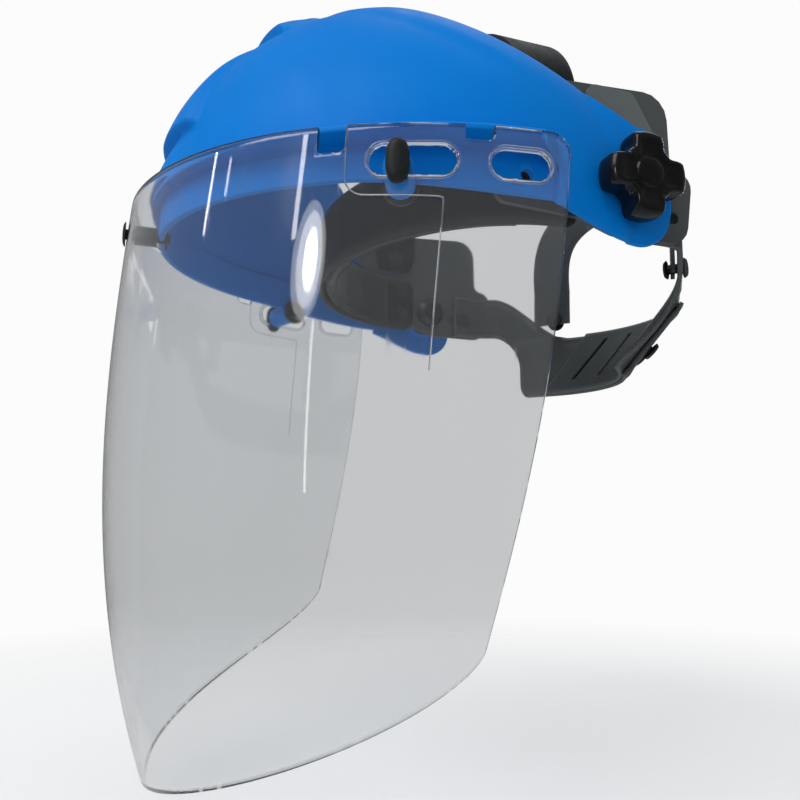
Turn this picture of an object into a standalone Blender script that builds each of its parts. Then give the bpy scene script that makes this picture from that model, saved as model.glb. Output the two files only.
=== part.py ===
"""Face shield: blue brow guard on a tilt pivot, clear visor, grey headgear and foam sweatband.

Lengths are in millimetres and are turned into metres where a mesh is made.
Frame: origin at the middle of the tilt axis, +X the wearer's left, -Y forward, +Z up.
"""
import math

import bmesh
import bpy
import numpy as np
from mathutils import Matrix, Vector

MM = 0.001
GAP = 0.3                       # clearance between pieces that touch

# Visor: a barrelled sheet bent round the face, hanging from its top edge
VISOR_THICKNESS = 1.5
VISOR_HEIGHT = 220.0
VISOR_TOP_Z = 9.8
VISOR_CENTRE_Y = -23.9          # centre of the half ellipse it is bent round
VISOR_HALF_WIDTH = 118.0
VISOR_DEPTH = 139.8
VISOR_BARREL = (19.4, -8.6, -26.6)      # forward bulge down the height: linear, square, cube
VISOR_TAPER = 12.4
VISOR_SIDE_ANGLE = 1.524        # radians from straight ahead to the side edge at the top
VISOR_STRAIGHT = 0.735          # part of the height above the rounded lower corners
VISOR_CORNER_POWER = 1.648

# Crown guard: band behind the visor, shelf above it and the dome over the forehead
WALL = 2.4
BAND_HALF_WIDTH = 103.6
BAND_DEPTH = 138.8
BAND_CENTRE_Y = -13.8
SHELF_Z = 10.3
RIM_TOP_Z = 13.0
RIM_HALF_WIDTH = 115.0
RIM_FRONT_Y = -156.0
DOME_HALF_WIDTH = 110.0
ARM_HALF_WIDTH = 104.5
BAND_END_ANGLE = math.radians(84.0)
ARM_END_Y = 18.5
CREST_HALF_WIDTH = 34.0
CREST_STEPS = (13.0, 36.0, 53.0)        # elevation of the upper end of each crest scallop
CREST_HEIGHT = 4.0
DOME_MIDDLE = np.array((0.0, -15.0, 12.0))

# Tilt pivot, from the head outwards
STRAP_X = 86.5                  # middle of the head ring's side walls
SIDE_PLATE_X = (88.0, 90.3)
BRACKET_X = (90.6, 92.9)
WASHER_X = (93.2, 96.7)
ARM_BOSS_X = 97.0
KNOB_WASHER_X = (105.0, 105.8)
KNOB_X = (106.1, 117.4)
KNOB_RADIUS = 15.2
KNOB_VALLEY_RADIUS = 10.4
PIVOT_Y = 1.5                   # the tilt axis, level and square to the head
PIVOT_Z = 3.5
BOLT_RADIUS = 3.0
BOLT_HOLE_RADIUS = 3.4
BOLT_HEAD_RADIUS = 7.5
INSERT_RADIUS = 5.0

# Visor fasteners
LOCK_ANGLE = 1.120              # radians round the visor
LOCK_Z = -3.7
LOCK_BAND_DEPTH = 15.9          # from the visor's outer face in to the band's, along the lock
LOCK_STEM_RADIUS = 3.0
LOCK_SLOT = (1.050, 1.254)
LOOSE_SLOT = (1.333, 1.474)
SLOT_HEIGHT = 10.0
NOTCH_FRONT = (0.922, 0.993, 9.0)
NOTCH_REAR = (1.271, 1.337, 5.0)
STUD_Z = -1.0
SMALL_HOLE = (-38.0, 1.7, 2.2)  # y, z and radius of the spare hole in the band's side

# Headgear
RING_HALF_WIDTH = 87.5
RING_FRONT_CENTRE_Y = -12.0
RING_FRONT_DEPTH = 70.0
HEADBAND_Z = (-8.0, 21.0)
SWEATBAND_Z = (-9.2, 23.0)
SWEATBAND_THICKNESS = 6.0
BAND_WALL = 1.8                 # thickness of every headgear strap
REAR_END_Y = 16.0               # front end of the rear bands, inside the side plates
REAR_STRAIGHT_Y = 30.0          # where they leave the side plates
REAR_CORNER_RADIUS = 16.0
REAR_CORNER_TURN = math.radians(52.0)
NAPE_RADIUS = 62.0
REAR_BAND_HEIGHT = 23.0
LEFT_BAND_REACH = -44.0         # x where the inner layer ends
RIGHT_BAND_REACH = 64.0         # x where the outer layer ends in its free tail
NAPE_LEAN = 0.85                # forward lean of the nape per unit of height
OVERHEAD_Y = (-32.0, -9.0)
OVERHEAD_LOW_Z = 26.0
OVERHEAD_BEND_Z = 42.0
OVERHEAD_TOP_Z = 95.0
OVERHEAD_HALF_WIDTH = 87.6
LAP_STEP = 2.2                  # how far the outer layer of a lap stands off the inner one
BUTTON_PLACE = (-20.5, 33.0)    # y and z of the overhead strap's button
BAND_STUD_PLACE = (21.0, 0.5)   # y and z of the stud that guides the rear band in the side plate
RIVET_PLACES = ((-16.0, 1.0), (-16.0, 14.0))


# ---------------------------------------------------------------- helpers

def clear_scene():
    for old in list(bpy.data.objects):
        bpy.data.objects.remove(old, do_unlink=True)


def material(name, colour, roughness, metallic=0.0, alpha=1.0, transmission=0.0):
    made = bpy.data.materials.new(name)
    made.use_nodes = True
    shader = made.node_tree.nodes["Principled BSDF"]
    shader.inputs["Base Color"].default_value = (*colour, 1.0)
    shader.inputs["Roughness"].default_value = roughness
    shader.inputs["Metallic"].default_value = metallic
    shader.inputs["Alpha"].default_value = alpha
    shader.inputs["Transmission Weight"].default_value = transmission
    made.diffuse_color = (*colour, alpha)
    return made


def mesh_object(name, points, faces, finish, parent=None, sharp_degrees=35.0):
    """One object from points in millimetres, smooth where its faces meet gently."""
    mesh = bpy.data.meshes.new(name)
    mesh.from_pydata([tuple(c * MM for c in p) for p in points], [], faces)
    shape = bmesh.new()
    shape.from_mesh(mesh)
    bmesh.ops.recalc_face_normals(shape, faces=shape.faces)
    shape.to_mesh(mesh)
    shape.free()
    mesh.shade_smooth()
    mesh.set_sharp_from_angle(angle=math.radians(sharp_degrees))
    made = bpy.data.objects.new(name, mesh)
    bpy.context.collection.objects.link(made)
    if finish is not None:
        made.data.materials.append(finish)
    if parent is not None:
        attach(made, parent)
    return made


def attach(child, parent):
    """Parent a piece and keep it where it is; its mesh moves so its origin is on the parent."""
    shift = parent.location + (parent.parent.location if parent.parent else Vector())
    child.data.transform(Matrix.Translation(-shift))
    child.parent = parent


def axis_empty(name, at_mm, parent=None):
    empty = bpy.data.objects.new(name, None)
    empty.empty_display_size = 0.02
    empty.location = Vector(at_mm) * MM
    if parent is not None:
        empty.parent = parent
        empty.location = empty.location - parent.location
    bpy.context.collection.objects.link(empty)
    return empty


def smoothstep(value, low, high):
    t = min(1.0, max(0.0, (value - low) / (high - low)))
    return t * t * (3.0 - 2.0 * t)


def signed_power(value, power):
    return math.copysign(abs(value) ** power, value)


def sheet_faces(rows, columns):
    """Faces of a closed sheet: an outer grid of points, then an inner one, then its four edges."""
    def outer(i, j):
        return i * columns + j

    def inner(i, j):
        return rows * columns + i * columns + j

    faces = []
    for i in range(rows - 1):
        for j in range(columns - 1):
            faces.append((outer(i, j), outer(i, j + 1), outer(i + 1, j + 1), outer(i + 1, j)))
            faces.append((inner(i, j), inner(i + 1, j), inner(i + 1, j + 1), inner(i, j + 1)))
    for i in range(rows - 1):
        faces.append((outer(i, 0), outer(i + 1, 0), inner(i + 1, 0), inner(i, 0)))
        last = columns - 1
        faces.append((outer(i + 1, last), outer(i, last), inner(i, last), inner(i + 1, last)))
    for j in range(columns - 1):
        faces.append((outer(0, j + 1), outer(0, j), inner(0, j), inner(0, j + 1)))
        end = rows - 1
        faces.append((outer(end, j), outer(end, j + 1), inner(end, j + 1), inner(end, j)))
    return faces


def grid_normals(grid):
    along = np.gradient(grid, axis=1)
    across = np.gradient(grid, axis=0)
    normals = np.cross(along, across)
    return normals / np.linalg.norm(normals, axis=2, keepdims=True)


def thick_sheet(name, grid, thickness, inside_point, finish, parent=None):
    """A sheet whose outer face is the grid and whose inner face lies nearer inside_point."""
    normals = grid_normals(grid)
    middle = grid[grid.shape[0] // 2, grid.shape[1] // 2]
    if np.dot(normals[grid.shape[0] // 2, grid.shape[1] // 2], middle - np.array(inside_point)) < 0:
        normals = -normals
    inner = grid - normals * thickness
    points = np.concatenate([grid.reshape(-1, 3), inner.reshape(-1, 3)])
    rows, columns = grid.shape[:2]
    return mesh_object(name, points.tolist(), sheet_faces(rows, columns), finish, parent)


def prism(name, outline, plane, low, high, finish=None, parent=None, sharp_degrees=35.0):
    """An outline in the 'yz', 'xz' or 'xy' plane, extruded from low to high along the third axis."""
    def place(point, height):
        if plane == "yz":
            return (height, point[0], point[1])
        if plane == "xz":
            return (point[0], height, point[1])
        return (point[0], point[1], height)

    count = len(outline)
    points = [place(p, low) for p in outline] + [place(p, high) for p in outline]
    faces = [tuple(range(count)), tuple(range(2 * count - 1, count - 1, -1))]
    for i in range(count):
        following = (i + 1) % count
        faces.append((i, following, count + following, count + i))
    return mesh_object(name, points, faces, finish, parent, sharp_degrees)


def turned(name, profile, centre, axis, finish=None, parent=None, segments=24):
    """A round piece: profile points are (distance along the axis, radius), first and last on it."""
    frame = Vector((1, 0, 0)).rotation_difference(Vector(axis).normalized()).to_matrix()
    points = []
    rings = []
    for along, radius in profile:
        if radius == 0.0:
            rings.append([len(points)])
            points.append(Vector(centre) + frame @ Vector((along, 0, 0)))
            continue
        ring = []
        for k in range(segments):
            turn = 2.0 * math.pi * k / segments
            ring.append(len(points))
            offset = Vector((along, radius * math.cos(turn), radius * math.sin(turn)))
            points.append(Vector(centre) + frame @ offset)
        rings.append(ring)
    faces = []
    for first, second in zip(rings, rings[1:]):
        for k in range(segments):
            n = (k + 1) % segments
            if len(first) == 1:
                faces.append((first[0], second[k], second[n]))
            elif len(second) == 1:
                faces.append((first[k], first[n], second[0]))
            else:
                faces.append((first[k], first[n], second[n], second[k]))
    return mesh_object(name, points, faces, finish, parent)


def ring_washer(name, centre, axis, length, radius, bore, finish, parent, segments=24):
    """A plain washer or bush: a square section turned round the axis."""
    frame = Vector((1, 0, 0)).rotation_difference(Vector(axis).normalized()).to_matrix()
    section = ((0.0, bore), (length, bore), (length, radius), (0.0, radius))
    points = []
    for k in range(segments):
        turn = 2.0 * math.pi * k / segments
        for along, r in section:
            offset = Vector((along, r * math.cos(turn), r * math.sin(turn)))
            points.append(Vector(centre) + frame @ offset)
    faces = []
    for k in range(segments):
        n = (k + 1) % segments
        for c in range(4):
            d = (c + 1) % 4
            faces.append((4 * k + c, 4 * k + d, 4 * n + d, 4 * n + c))
    return mesh_object(name, points, faces, finish, parent)


def cut(target, cutter, operation="DIFFERENCE", solver="EXACT"):
    """Cut or join; the cutter stays in the file as a wire guide."""
    change = target.modifiers.new(cutter.name, "BOOLEAN")
    change.operation = operation
    change.solver = solver
    change.object = cutter
    cutter.hide_render = True
    cutter.display_type = "WIRE"
    if target.parent is not None and cutter.parent is None:
        attach(cutter, target.parent)


def rod_cutter(name, centre, axis, length, radius, segments=20):
    profile = ((-length / 2, 0.0), (-length / 2, radius), (length / 2, radius), (length / 2, 0.0))
    return turned(name, profile, centre, axis, segments=segments)


def rounded_outline(corners, radii, steps=4):
    """A polygon with its corners rounded by arcs."""
    outline = []
    count = len(corners)
    for i in range(count):
        here = Vector(corners[i])
        before = (Vector(corners[i - 1]) - here).normalized()
        after = (Vector(corners[(i + 1) % count]) - here).normalized()
        radius = radii[i]
        if radius == 0.0:
            outline.append(tuple(here))
            continue
        half = before.angle(after) / 2.0
        reach = radius / math.tan(half)
        centre = here + (before + after).normalized() * (radius / math.sin(half))
        start = here + before * reach - centre
        sweep = math.pi - 2.0 * half
        turn = math.copysign(1.0, before.x * after.y - before.y * after.x)
        for k in range(steps + 1):
            angle = -turn * sweep * k / steps
            c, s = math.cos(angle), math.sin(angle)
            outline.append((centre.x + c * start.x - s * start.y, centre.y + s * start.x + c * start.y))
    return outline


# ---------------------------------------------------------------- visor

def visor_point(turn, down, inset=0.0):
    """Point on the visor: turn in radians from straight ahead, down from 0 at the top edge to 1."""
    linear, square, cube = VISOR_BARREL
    bulge = linear * down + square * down ** 2 + cube * down ** 3
    half_width = VISOR_HALF_WIDTH + 0.275 * bulge - VISOR_TAPER * down - inset
    depth = VISOR_DEPTH + bulge - inset
    x = half_width * math.sin(turn)
    y = VISOR_CENTRE_Y - depth * math.cos(turn)
    return (x, y, VISOR_TOP_Z - VISOR_HEIGHT * down)


def visor_side_angle(down):
    return VISOR_SIDE_ANGLE - 0.040 * down - 0.286 * down ** 2


def visor_down(z):
    return (VISOR_TOP_Z - z) / VISOR_HEIGHT


def visor_radial(turn):
    """Outward direction of the visor's wall near its top edge."""
    x = math.sin(turn) / VISOR_HALF_WIDTH
    y = -math.cos(turn) / VISOR_DEPTH
    return Vector((x, y, 0.0)).normalized()


def slot_cutter(name, first, last, z, height, inner, outer):
    """A slot with round ends that follows the visor's bend, between two turns."""
    radius = height / 2.0
    near = Vector(visor_point(first, visor_down(z)))
    far = Vector(visor_point(last, visor_down(z)))
    middle = (near + far) / 2.0
    along = (far - near).normalized()
    half = (far - near).length / 2.0 - radius
    outward = Vector((along.y, -along.x, 0.0))
    if outward.dot(visor_radial((first + last) / 2.0)) < 0:
        outward = -outward
    outline = []
    for side in (1.0, -1.0):
        for k in range(7):
            angle = math.pi * (k / 6.0 - 0.5)
            outline.append((side * (half + radius * math.cos(angle)), side * radius * math.sin(angle)))
    count = len(outline)
    points = []
    for reach in (inner, outer):
        for u, v in outline:
            points.append(middle + along * u + Vector((0, 0, v)) + outward * reach)
    faces = [tuple(range(count)), tuple(range(2 * count - 1, count - 1, -1))]
    for i in range(count):
        n = (i + 1) % count
        faces.append((i, n, count + n, count + i))
    return mesh_object(name, points, faces, None)


def notch_cutter(name, first, last, depth):
    """A notch in the visor's top edge with rounded lower corners."""
    near = Vector(visor_point(first, 0.0))
    far = Vector(visor_point(last, 0.0))
    middle = (near + far) / 2.0
    along = (far - near).normalized()
    outward = visor_radial((first + last) / 2.0)
    half = (far - near).length / 2.0
    corners = ((-half, 6.0), (-half, -depth), (half, -depth), (half, 6.0))
    outline = rounded_outline(corners, (0.0, 2.0, 2.0, 0.0), 3)
    count = len(outline)
    points = []
    for reach in (-6.0, 6.0):
        for u, v in outline:
            points.append(middle + along * u + Vector((0, 0, v)) + outward * reach)
    faces = [tuple(range(count)), tuple(range(2 * count - 1, count - 1, -1))]
    for i in range(count):
        n = (i + 1) % count
        faces.append((i, n, count + n, count + i))
    return mesh_object(name, points, faces, None)


def build_visor(finish, parent):
    columns, rows = 41, 15
    outer = np.zeros((rows, columns, 3))
    inner = np.zeros((rows, columns, 3))
    for j in range(columns):
        swing = math.pi * (j / (columns - 1) - 0.5)
        share = signed_power(math.sin(swing), 2.0 / VISOR_CORNER_POWER)
        corner = abs(math.cos(swing)) ** (2.0 / VISOR_CORNER_POWER)
        lowest = VISOR_STRAIGHT + (1.0 - VISOR_STRAIGHT) * corner
        for i in range(rows):
            down = lowest * i / (rows - 1)
            turn = share * visor_side_angle(down)
            outer[i, j] = visor_point(turn, down)
            inner[i, j] = visor_point(turn, down, VISOR_THICKNESS)
    points = np.concatenate([outer.reshape(-1, 3), inner.reshape(-1, 3)]).tolist()
    visor = mesh_object("visor", points, sheet_faces(rows, columns), finish, parent)
    slot_z = LOCK_Z + 1.4
    for side, label in ((1.0, "left"), (-1.0, "right")):
        first, last = (side * a for a in LOCK_SLOT)
        cut(visor, slot_cutter("cut_lock_slot_" + label, first, last, slot_z, SLOT_HEIGHT, -8.0, 6.0))
        first, last = (side * a for a in LOOSE_SLOT)
        cut(visor, slot_cutter("cut_loose_slot_" + label, first, last, slot_z, 9.5, -8.0, 6.0))
        for kind, (first, last, depth) in (("front", NOTCH_FRONT), ("rear", NOTCH_REAR)):
            cut(visor, notch_cutter(f"cut_{kind}_notch_{label}", side * first, side * last, depth))
    front = Vector(visor_point(0.0, visor_down(STUD_Z)))
    cut(visor, rod_cutter("cut_stud_hole", front, (0, 1, 0), 12.0, 2.6))
    return visor


# ---------------------------------------------------------------- crown guard

def dome_radius(elevation):
    """Distance from the tilt axis to the dome on the centre line, elevation in radians."""
    rise = math.degrees(elevation)
    return 153.5 - 0.0150 * max(0.0, rise - 9.0) ** 2 + 0.016 * max(0.0, rise - 60.0) ** 2


def dome_x(y, z):
    """Half width of the dome at a place seen from the side."""
    from_axis = math.hypot(y, z)
    elevation = math.atan2(z, -y)
    if elevation < 0.0 or elevation > math.radians(70.0):
        elevation = 0.0 if elevation < 0.0 and y < 0.0 else math.radians(70.0)
    reach = dome_radius(elevation)
    flat = DOME_HALF_WIDTH - (DOME_HALF_WIDTH - ARM_HALF_WIDTH) * math.exp(-(from_axis / 38.0) ** 2)
    return flat * math.sqrt(max(0.0, 1.0 - (from_axis / reach) ** 2 * 0.999))


def on_dome(point):
    """Push a point away from the middle of the head until it lies on the dome."""
    heading = np.array(point) - DOME_MIDDLE
    low, high = 0.2, 2.5
    for _ in range(40):
        scale = (low + high) / 2.0
        place = DOME_MIDDLE + heading * scale
        from_axis = math.hypot(place[1], place[2])
        elevation = min(max(math.atan2(place[2], -place[1]), 0.0), math.radians(70.0))
        flat = DOME_HALF_WIDTH - (DOME_HALF_WIDTH - ARM_HALF_WIDTH) * math.exp(-(from_axis / 38.0) ** 2)
        value = (place[0] / flat) ** 2 + (from_axis / dome_radius(elevation)) ** 2
        if value > 1.0:
            high = scale
        else:
            low = scale
    return DOME_MIDDLE + heading * low


def crest_lift(place):
    """Three overlapping scallops down the middle of the forehead."""
    rise = math.degrees(math.atan2(place[2], -place[1]))
    if rise < 3.0 or rise > CREST_STEPS[-1]:
        return 0.0
    side = max(0.0, 1.0 - (abs(place[0]) / CREST_HALF_WIDTH) ** 4)
    low = 3.0
    for high in CREST_STEPS:
        if rise <= high:
            share = (rise - low) / (high - low)
            return CREST_HEIGHT * side * (1.0 - share ** 2.5)
        low = high
    return 0.0


def rear_edge():
    """The crown's upper rear edge from its top centre down to the end of the arm."""
    points = []
    for k in range(241):
        share = k / 240.0
        y = -88.0 + (ARM_END_Y + 88.0) * share ** 1.6
        z = 26.5 + 0.60 * max(0.0, 6.0 - y) + 0.00365 * max(0.0, -y - 25.0) ** 2
        rounding = max(0.0, y - (ARM_END_Y - 10.0))
        z -= 10.0 - math.sqrt(max(0.0, 100.0 - min(rounding, 10.0) ** 2)) if rounding > 0 else 0.0
        x = dome_x(y, z)
        points.append((x, y, z))
    points[0] = (0.0, points[0][1], points[0][2])
    return np.array(points)


def at_fraction(points, fraction):
    steps = np.linalg.norm(np.diff(points, axis=0), axis=1)
    run = np.concatenate([[0.0], np.cumsum(steps)]) / steps.sum()
    return np.array([np.interp(fraction, run, points[:, c]) for c in range(3)])


def arm_bottom_z(y):
    """Lower edge of the arm, round under the pivot."""
    sag = -6.0 - 12.0 * smoothstep(y, -38.0, 6.0)
    rounding = max(0.0, y - (ARM_END_Y - 13.0))
    return sag + 13.0 - math.sqrt(max(0.0, 169.0 - min(rounding, 13.0) ** 2))


def crown_section(share, dome_rows):
    """Closed cross-section of the crown at a share of the way from the front to the arm's end."""
    band_share = 0.80
    if share <= band_share:
        angle = BAND_END_ANGLE * share / band_share
        sine, cosine = math.sin(angle), math.cos(angle)
        x, y = BAND_HALF_WIDTH * sine, BAND_CENTRE_Y - BAND_DEPTH * cosine
        bottom = -2.7 - 4.2 * smoothstep(angle, math.radians(52), math.radians(84)) + 1.0 * sine ** 2
        rim_depth = -RIM_FRONT_Y + VISOR_CENTRE_Y
        rim = (RIM_HALF_WIDTH * sine, VISOR_CENTRE_Y - rim_depth * cosine)
        start = on_dome((rim[0], rim[1] + 4.0, RIM_TOP_Z))
        base = np.array((start[0], start[1], RIM_TOP_Z + 0.4))
        outer = [(x, y, bottom), (x, y, SHELF_Z), (rim[0], rim[1], SHELF_Z),
                 (rim[0], rim[1], RIM_TOP_Z - 0.6), tuple(base)]
        thin = 1.0 - WALL / BAND_HALF_WIDTH
        inner_x, inner_y = x * thin, BAND_CENTRE_Y - (BAND_DEPTH - WALL) * cosine
        inner_low = [(inner_x, inner_y, bottom), (inner_x, inner_y, RIM_TOP_Z + 0.2)]
    else:
        run = (share - band_share) / (1.0 - band_share)
        y = -24.5 + (ARM_END_Y + 24.5) * run
        bottom = arm_bottom_z(y)
        levels = [bottom + (RIM_TOP_Z - bottom) * s for s in (0.0, 0.42, 0.62, 0.8, 1.0)]
        outer = [(dome_x(y, z), y, z) for z in levels]
        inner_low = [(outer[0][0] - WALL, y, bottom), (dome_x(y, RIM_TOP_Z * 0.7) - WALL, y, RIM_TOP_Z * 0.7)]
        base = np.array(outer[4])
    top = at_fraction(REAR_EDGE, share)
    dome = []
    for k in range(1, dome_rows + 1):
        place = base + (top - base) * k / dome_rows
        if share <= band_share:
            place = on_dome(place)
            away = place - DOME_MIDDLE
            place = place + away / np.linalg.norm(away) * crest_lift(place)
        else:
            place[0] = dome_x(place[1], place[2])
        dome.append(place)
    inner_dome = []
    for place in [base] + dome:
        away = place - DOME_MIDDLE
        if share > band_share:
            away = np.array((1.0, 0.0, 0.0))
        inner_dome.append(place - away / np.linalg.norm(away) * (WALL + 0.2))
    section = [tuple(p) for p in outer] + [tuple(p) for p in dome]
    section += [tuple(p) for p in reversed(inner_dome)] + [inner_low[1], inner_low[0]]
    return section


def join(crown, boss):
    """Join a boss to the crown; its curved wall needs the manifold solver."""
    cut(crown, boss, "UNION", "MANIFOLD")


def drill(crown, drill_rod):
    cut(crown, drill_rod, "DIFFERENCE", "MANIFOLD")


def build_crown(finish, parent):
    shares = [0.0]
    shares += [0.80 * k / 17.0 for k in range(1, 18)]
    shares += [0.805 + 0.195 * math.sin(math.pi / 2.0 * k / 8.0) for k in range(9)]
    dome_rows = 10
    sections = []
    for share in reversed(shares[1:]):
        sections.append([(-p[0], p[1], p[2]) for p in crown_section(share, dome_rows)])
    for share in shares:
        sections.append(crown_section(share, dome_rows))
    count = len(sections[0])
    points = [p for section in sections for p in section]
    faces = [tuple(range(count)), tuple(range(len(points) - 1, len(points) - count - 1, -1))]
    for s in range(len(sections) - 1):
        for k in range(count):
            n = (k + 1) % count
            faces.append((s * count + k, s * count + n, (s + 1) * count + n, (s + 1) * count + k))
    crown = mesh_object("crown_guard", points, faces, finish, parent)
    for side, label in ((1.0, "left"), (-1.0, "right")):
        boss_length = 102.8 - ARM_BOSS_X
        boss_middle = (side * (ARM_BOSS_X + boss_length / 2.0), PIVOT_Y, PIVOT_Z)
        join(crown, rod_cutter("join_pivot_boss_" + label, boss_middle, (1, 0, 0), boss_length, 11.0))
        hole_middle = (side * 101.0, PIVOT_Y, PIVOT_Z)
        drill(crown, rod_cutter("cut_pivot_hole_" + label, hole_middle, (1, 0, 0), 20.0, BOLT_HOLE_RADIUS))
        anchor, outward = lock_place(side)
        boss_start = VISOR_THICKNESS + GAP
        boss_length = LOCK_BAND_DEPTH + WALL / 2.0 - boss_start
        middle = anchor - outward * (boss_start + boss_length / 2.0)
        join(crown, rod_cutter("join_lock_boss_" + label, middle, outward, boss_length, 5.0))
        drill(crown, rod_cutter("cut_lock_hole_" + label, middle, outward, 30.0, 3.4, 16))
        y, z, radius = SMALL_HOLE
        drill(crown, rod_cutter("cut_spare_hole_" + label, (side * 100.0, y, z), (1, 0, 0), 12.0, radius, 12))
    band_front = BAND_CENTRE_Y - BAND_DEPTH
    drill(crown, rod_cutter("cut_stud_bore", (0.0, band_front, STUD_Z), (0, 1, 0), 40.0, 2.4, 12))
    return crown


def lock_place(side):
    """Centre of a twist lock on the visor's outer face, and the outward direction there."""
    anchor = Vector(visor_point(side * LOCK_ANGLE, visor_down(LOCK_Z)))
    outward = visor_radial(LOCK_ANGLE)
    outward.x *= side
    return anchor, outward


# ---------------------------------------------------------------- fasteners of the visor

def oval(half_length, half_width, steps=20):
    return [(half_width * math.cos(2 * math.pi * k / steps), half_length * math.sin(2 * math.pi * k / steps))
            for k in range(steps)]


def build_twist_lock(label, side, finish, parent):
    """Oval handle outside the visor, its stem through slot and band, and a snap foot inside."""
    anchor, outward = lock_place(side)
    along = Vector((0, 0, 1)).cross(outward)
    stem = (LOCK_STEM_RADIUS, LOCK_STEM_RADIUS)
    rings = (((5.6, 2.4), 4.6), ((6.8, 3.4), 3.6), ((7.2, 3.8), 2.0), ((7.1, 3.7), 0.6), (stem, 0.5),
             (stem, -(LOCK_BAND_DEPTH + WALL + 2.4)))
    points, faces = [], []
    for (half_length, half_width), reach in rings:
        for u, v in oval(half_length, half_width, 20):
            points.append(anchor + along * u + Vector((0, 0, v)) + outward * reach)
    for r in range(len(rings) - 1):
        for k in range(20):
            n = (k + 1) % 20
            faces.append((20 * r + k, 20 * r + n, 20 * r + 20 + n, 20 * r + 20 + k))
    faces.append(tuple(range(20)))
    faces.append(tuple(range(len(points) - 1, len(points) - 21, -1)))
    return mesh_object("twist_lock_" + label, points, faces, finish, parent)


def build_lock_clip(label, side, finish, parent):
    """Push-on washer that keeps the twist lock in the band."""
    anchor, outward = lock_place(side)
    start = anchor - outward * (LOCK_BAND_DEPTH + WALL + 1.9)
    return ring_washer("lock_clip_" + label, start, outward, 1.2, 6.2, 3.3, finish, parent, 16)


# ---------------------------------------------------------------- tilt pivot

def build_knob(label, side, finish, parent):
    """Four-lobed clamping knob with a blind bore for its threaded insert and a raised centre boss."""
    steps = 48
    low, high = KNOB_X
    levels = ((low, 0.93), (low + 1.2, 1.0), (high - 4.0, 0.98), (high - 1.6, 0.90), (high - 0.6, 0.78))
    points, faces = [], []
    for x, scale in levels:
        for k in range(steps):
            turn = 2 * math.pi * k / steps
            lobe = 0.5 + 0.5 * math.cos(4.0 * turn)
            radius = (KNOB_VALLEY_RADIUS + (KNOB_RADIUS - KNOB_VALLEY_RADIUS) * lobe ** 0.8) * scale
            points.append((side * x, PIVOT_Y + radius * math.cos(turn), PIVOT_Z + radius * math.sin(turn)))
    for x, radius in ((high - 1.4, 6.8), (high - 0.4, 6.0), (high, 4.4)):
        for k in range(steps):
            turn = 2 * math.pi * k / steps
            points.append((side * x, PIVOT_Y + radius * math.cos(turn), PIVOT_Z + radius * math.sin(turn)))
    bore = INSERT_RADIUS + GAP
    for x, radius in ((low, bore), (low + 8.2, bore)):
        for k in range(steps):
            turn = 2 * math.pi * k / steps
            points.append((side * x, PIVOT_Y + radius * math.cos(turn), PIVOT_Z + radius * math.sin(turn)))
    ring_order = (9, 8, 0, 1, 2, 3, 4, 5, 6, 7)
    for first, second in zip(ring_order, ring_order[1:]):
        for k in range(steps):
            n = (k + 1) % steps
            faces.append((first * steps + k, first * steps + n, second * steps + n, second * steps + k))
    faces.append(tuple(9 * steps + k for k in range(steps)))
    faces.append(tuple(7 * steps + k for k in reversed(range(steps))))
    return mesh_object("pivot_knob_" + label, points, faces, finish, parent)


def build_pivot(label, side, finishes, knob_parent):
    """Bolt from inside the head ring, side plate, bracket and friction washer of one side."""
    head_low = STRAP_X - 3.6
    profile = ((head_low, 0.0), (head_low + 0.5, 5.0), (head_low + 2.0, BOLT_HEAD_RADIUS),
               (SIDE_PLATE_X[0] - GAP, BOLT_HEAD_RADIUS), (SIDE_PLATE_X[0] - GAP, BOLT_RADIUS),
               (KNOB_X[0] + 6.6, BOLT_RADIUS), (KNOB_X[0] + 7.4, BOLT_RADIUS - 0.8), (KNOB_X[0] + 7.4, 0.0))
    turned("pivot_bolt_" + label, profile, (0, PIVOT_Y, PIVOT_Z), (side, 0, 0), finishes["steel"])
    thickness = WASHER_X[1] - WASHER_X[0]
    start = (side * WASHER_X[0], PIVOT_Y, PIVOT_Z)
    ring_washer("friction_washer_" + label, start, (side, 0, 0), thickness, 11.0, BOLT_HOLE_RADIUS,
                finishes["black"], None)
    thickness = KNOB_WASHER_X[1] - KNOB_WASHER_X[0]
    start = (side * KNOB_WASHER_X[0], PIVOT_Y, PIVOT_Z)
    ring_washer("knob_washer_" + label, start, (side, 0, 0), thickness, 8.5, BOLT_HOLE_RADIUS,
                finishes["steel"], None)
    build_knob(label, side, finishes["gloss_black"], knob_parent)
    start = (side * (KNOB_X[0] + 0.2), PIVOT_Y, PIVOT_Z)
    ring_washer("knob_insert_" + label, start, (side, 0, 0), 7.6, INSERT_RADIUS, BOLT_HOLE_RADIUS,
                finishes["brass"], knob_parent)


def side_plate_outline():
    corners = ((-44.0, -3.5), (-10.0, -5.0), (4.0, -9.5), (36.5, -9.5), (40.0, 18.0), (30.0, 20.0),
               (29.0, 50.0), (-38.0, 46.0), (-44.0, 20.0))
    return rounded_outline(corners, (4.0, 8.0, 8.0, 8.0, 6.0, 4.0, 10.0, 8.0, 6.0))


def bracket_outline():
    corners = ((-7.0, -6.5), (14.0, -6.5), (27.0, 3.0), (28.0, 20.0), (12.0, 46.5), (-7.0, 46.5))
    return rounded_outline(corners, (7.0, 8.0, 8.0, 6.0, 4.0, 3.0))


def plate(name, outline, x_range, side, finish, holes):
    low, high = sorted(side * x for x in x_range)
    made = prism(name, outline, "yz", low, high, finish)
    for number, (y, z, radius) in enumerate(holes):
        middle = ((low + high) / 2.0, y, z)
        cut(made, rod_cutter(f"cut_{name}_{number}", middle, (1, 0, 0), 8.0, radius, 16))
    return made


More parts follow.
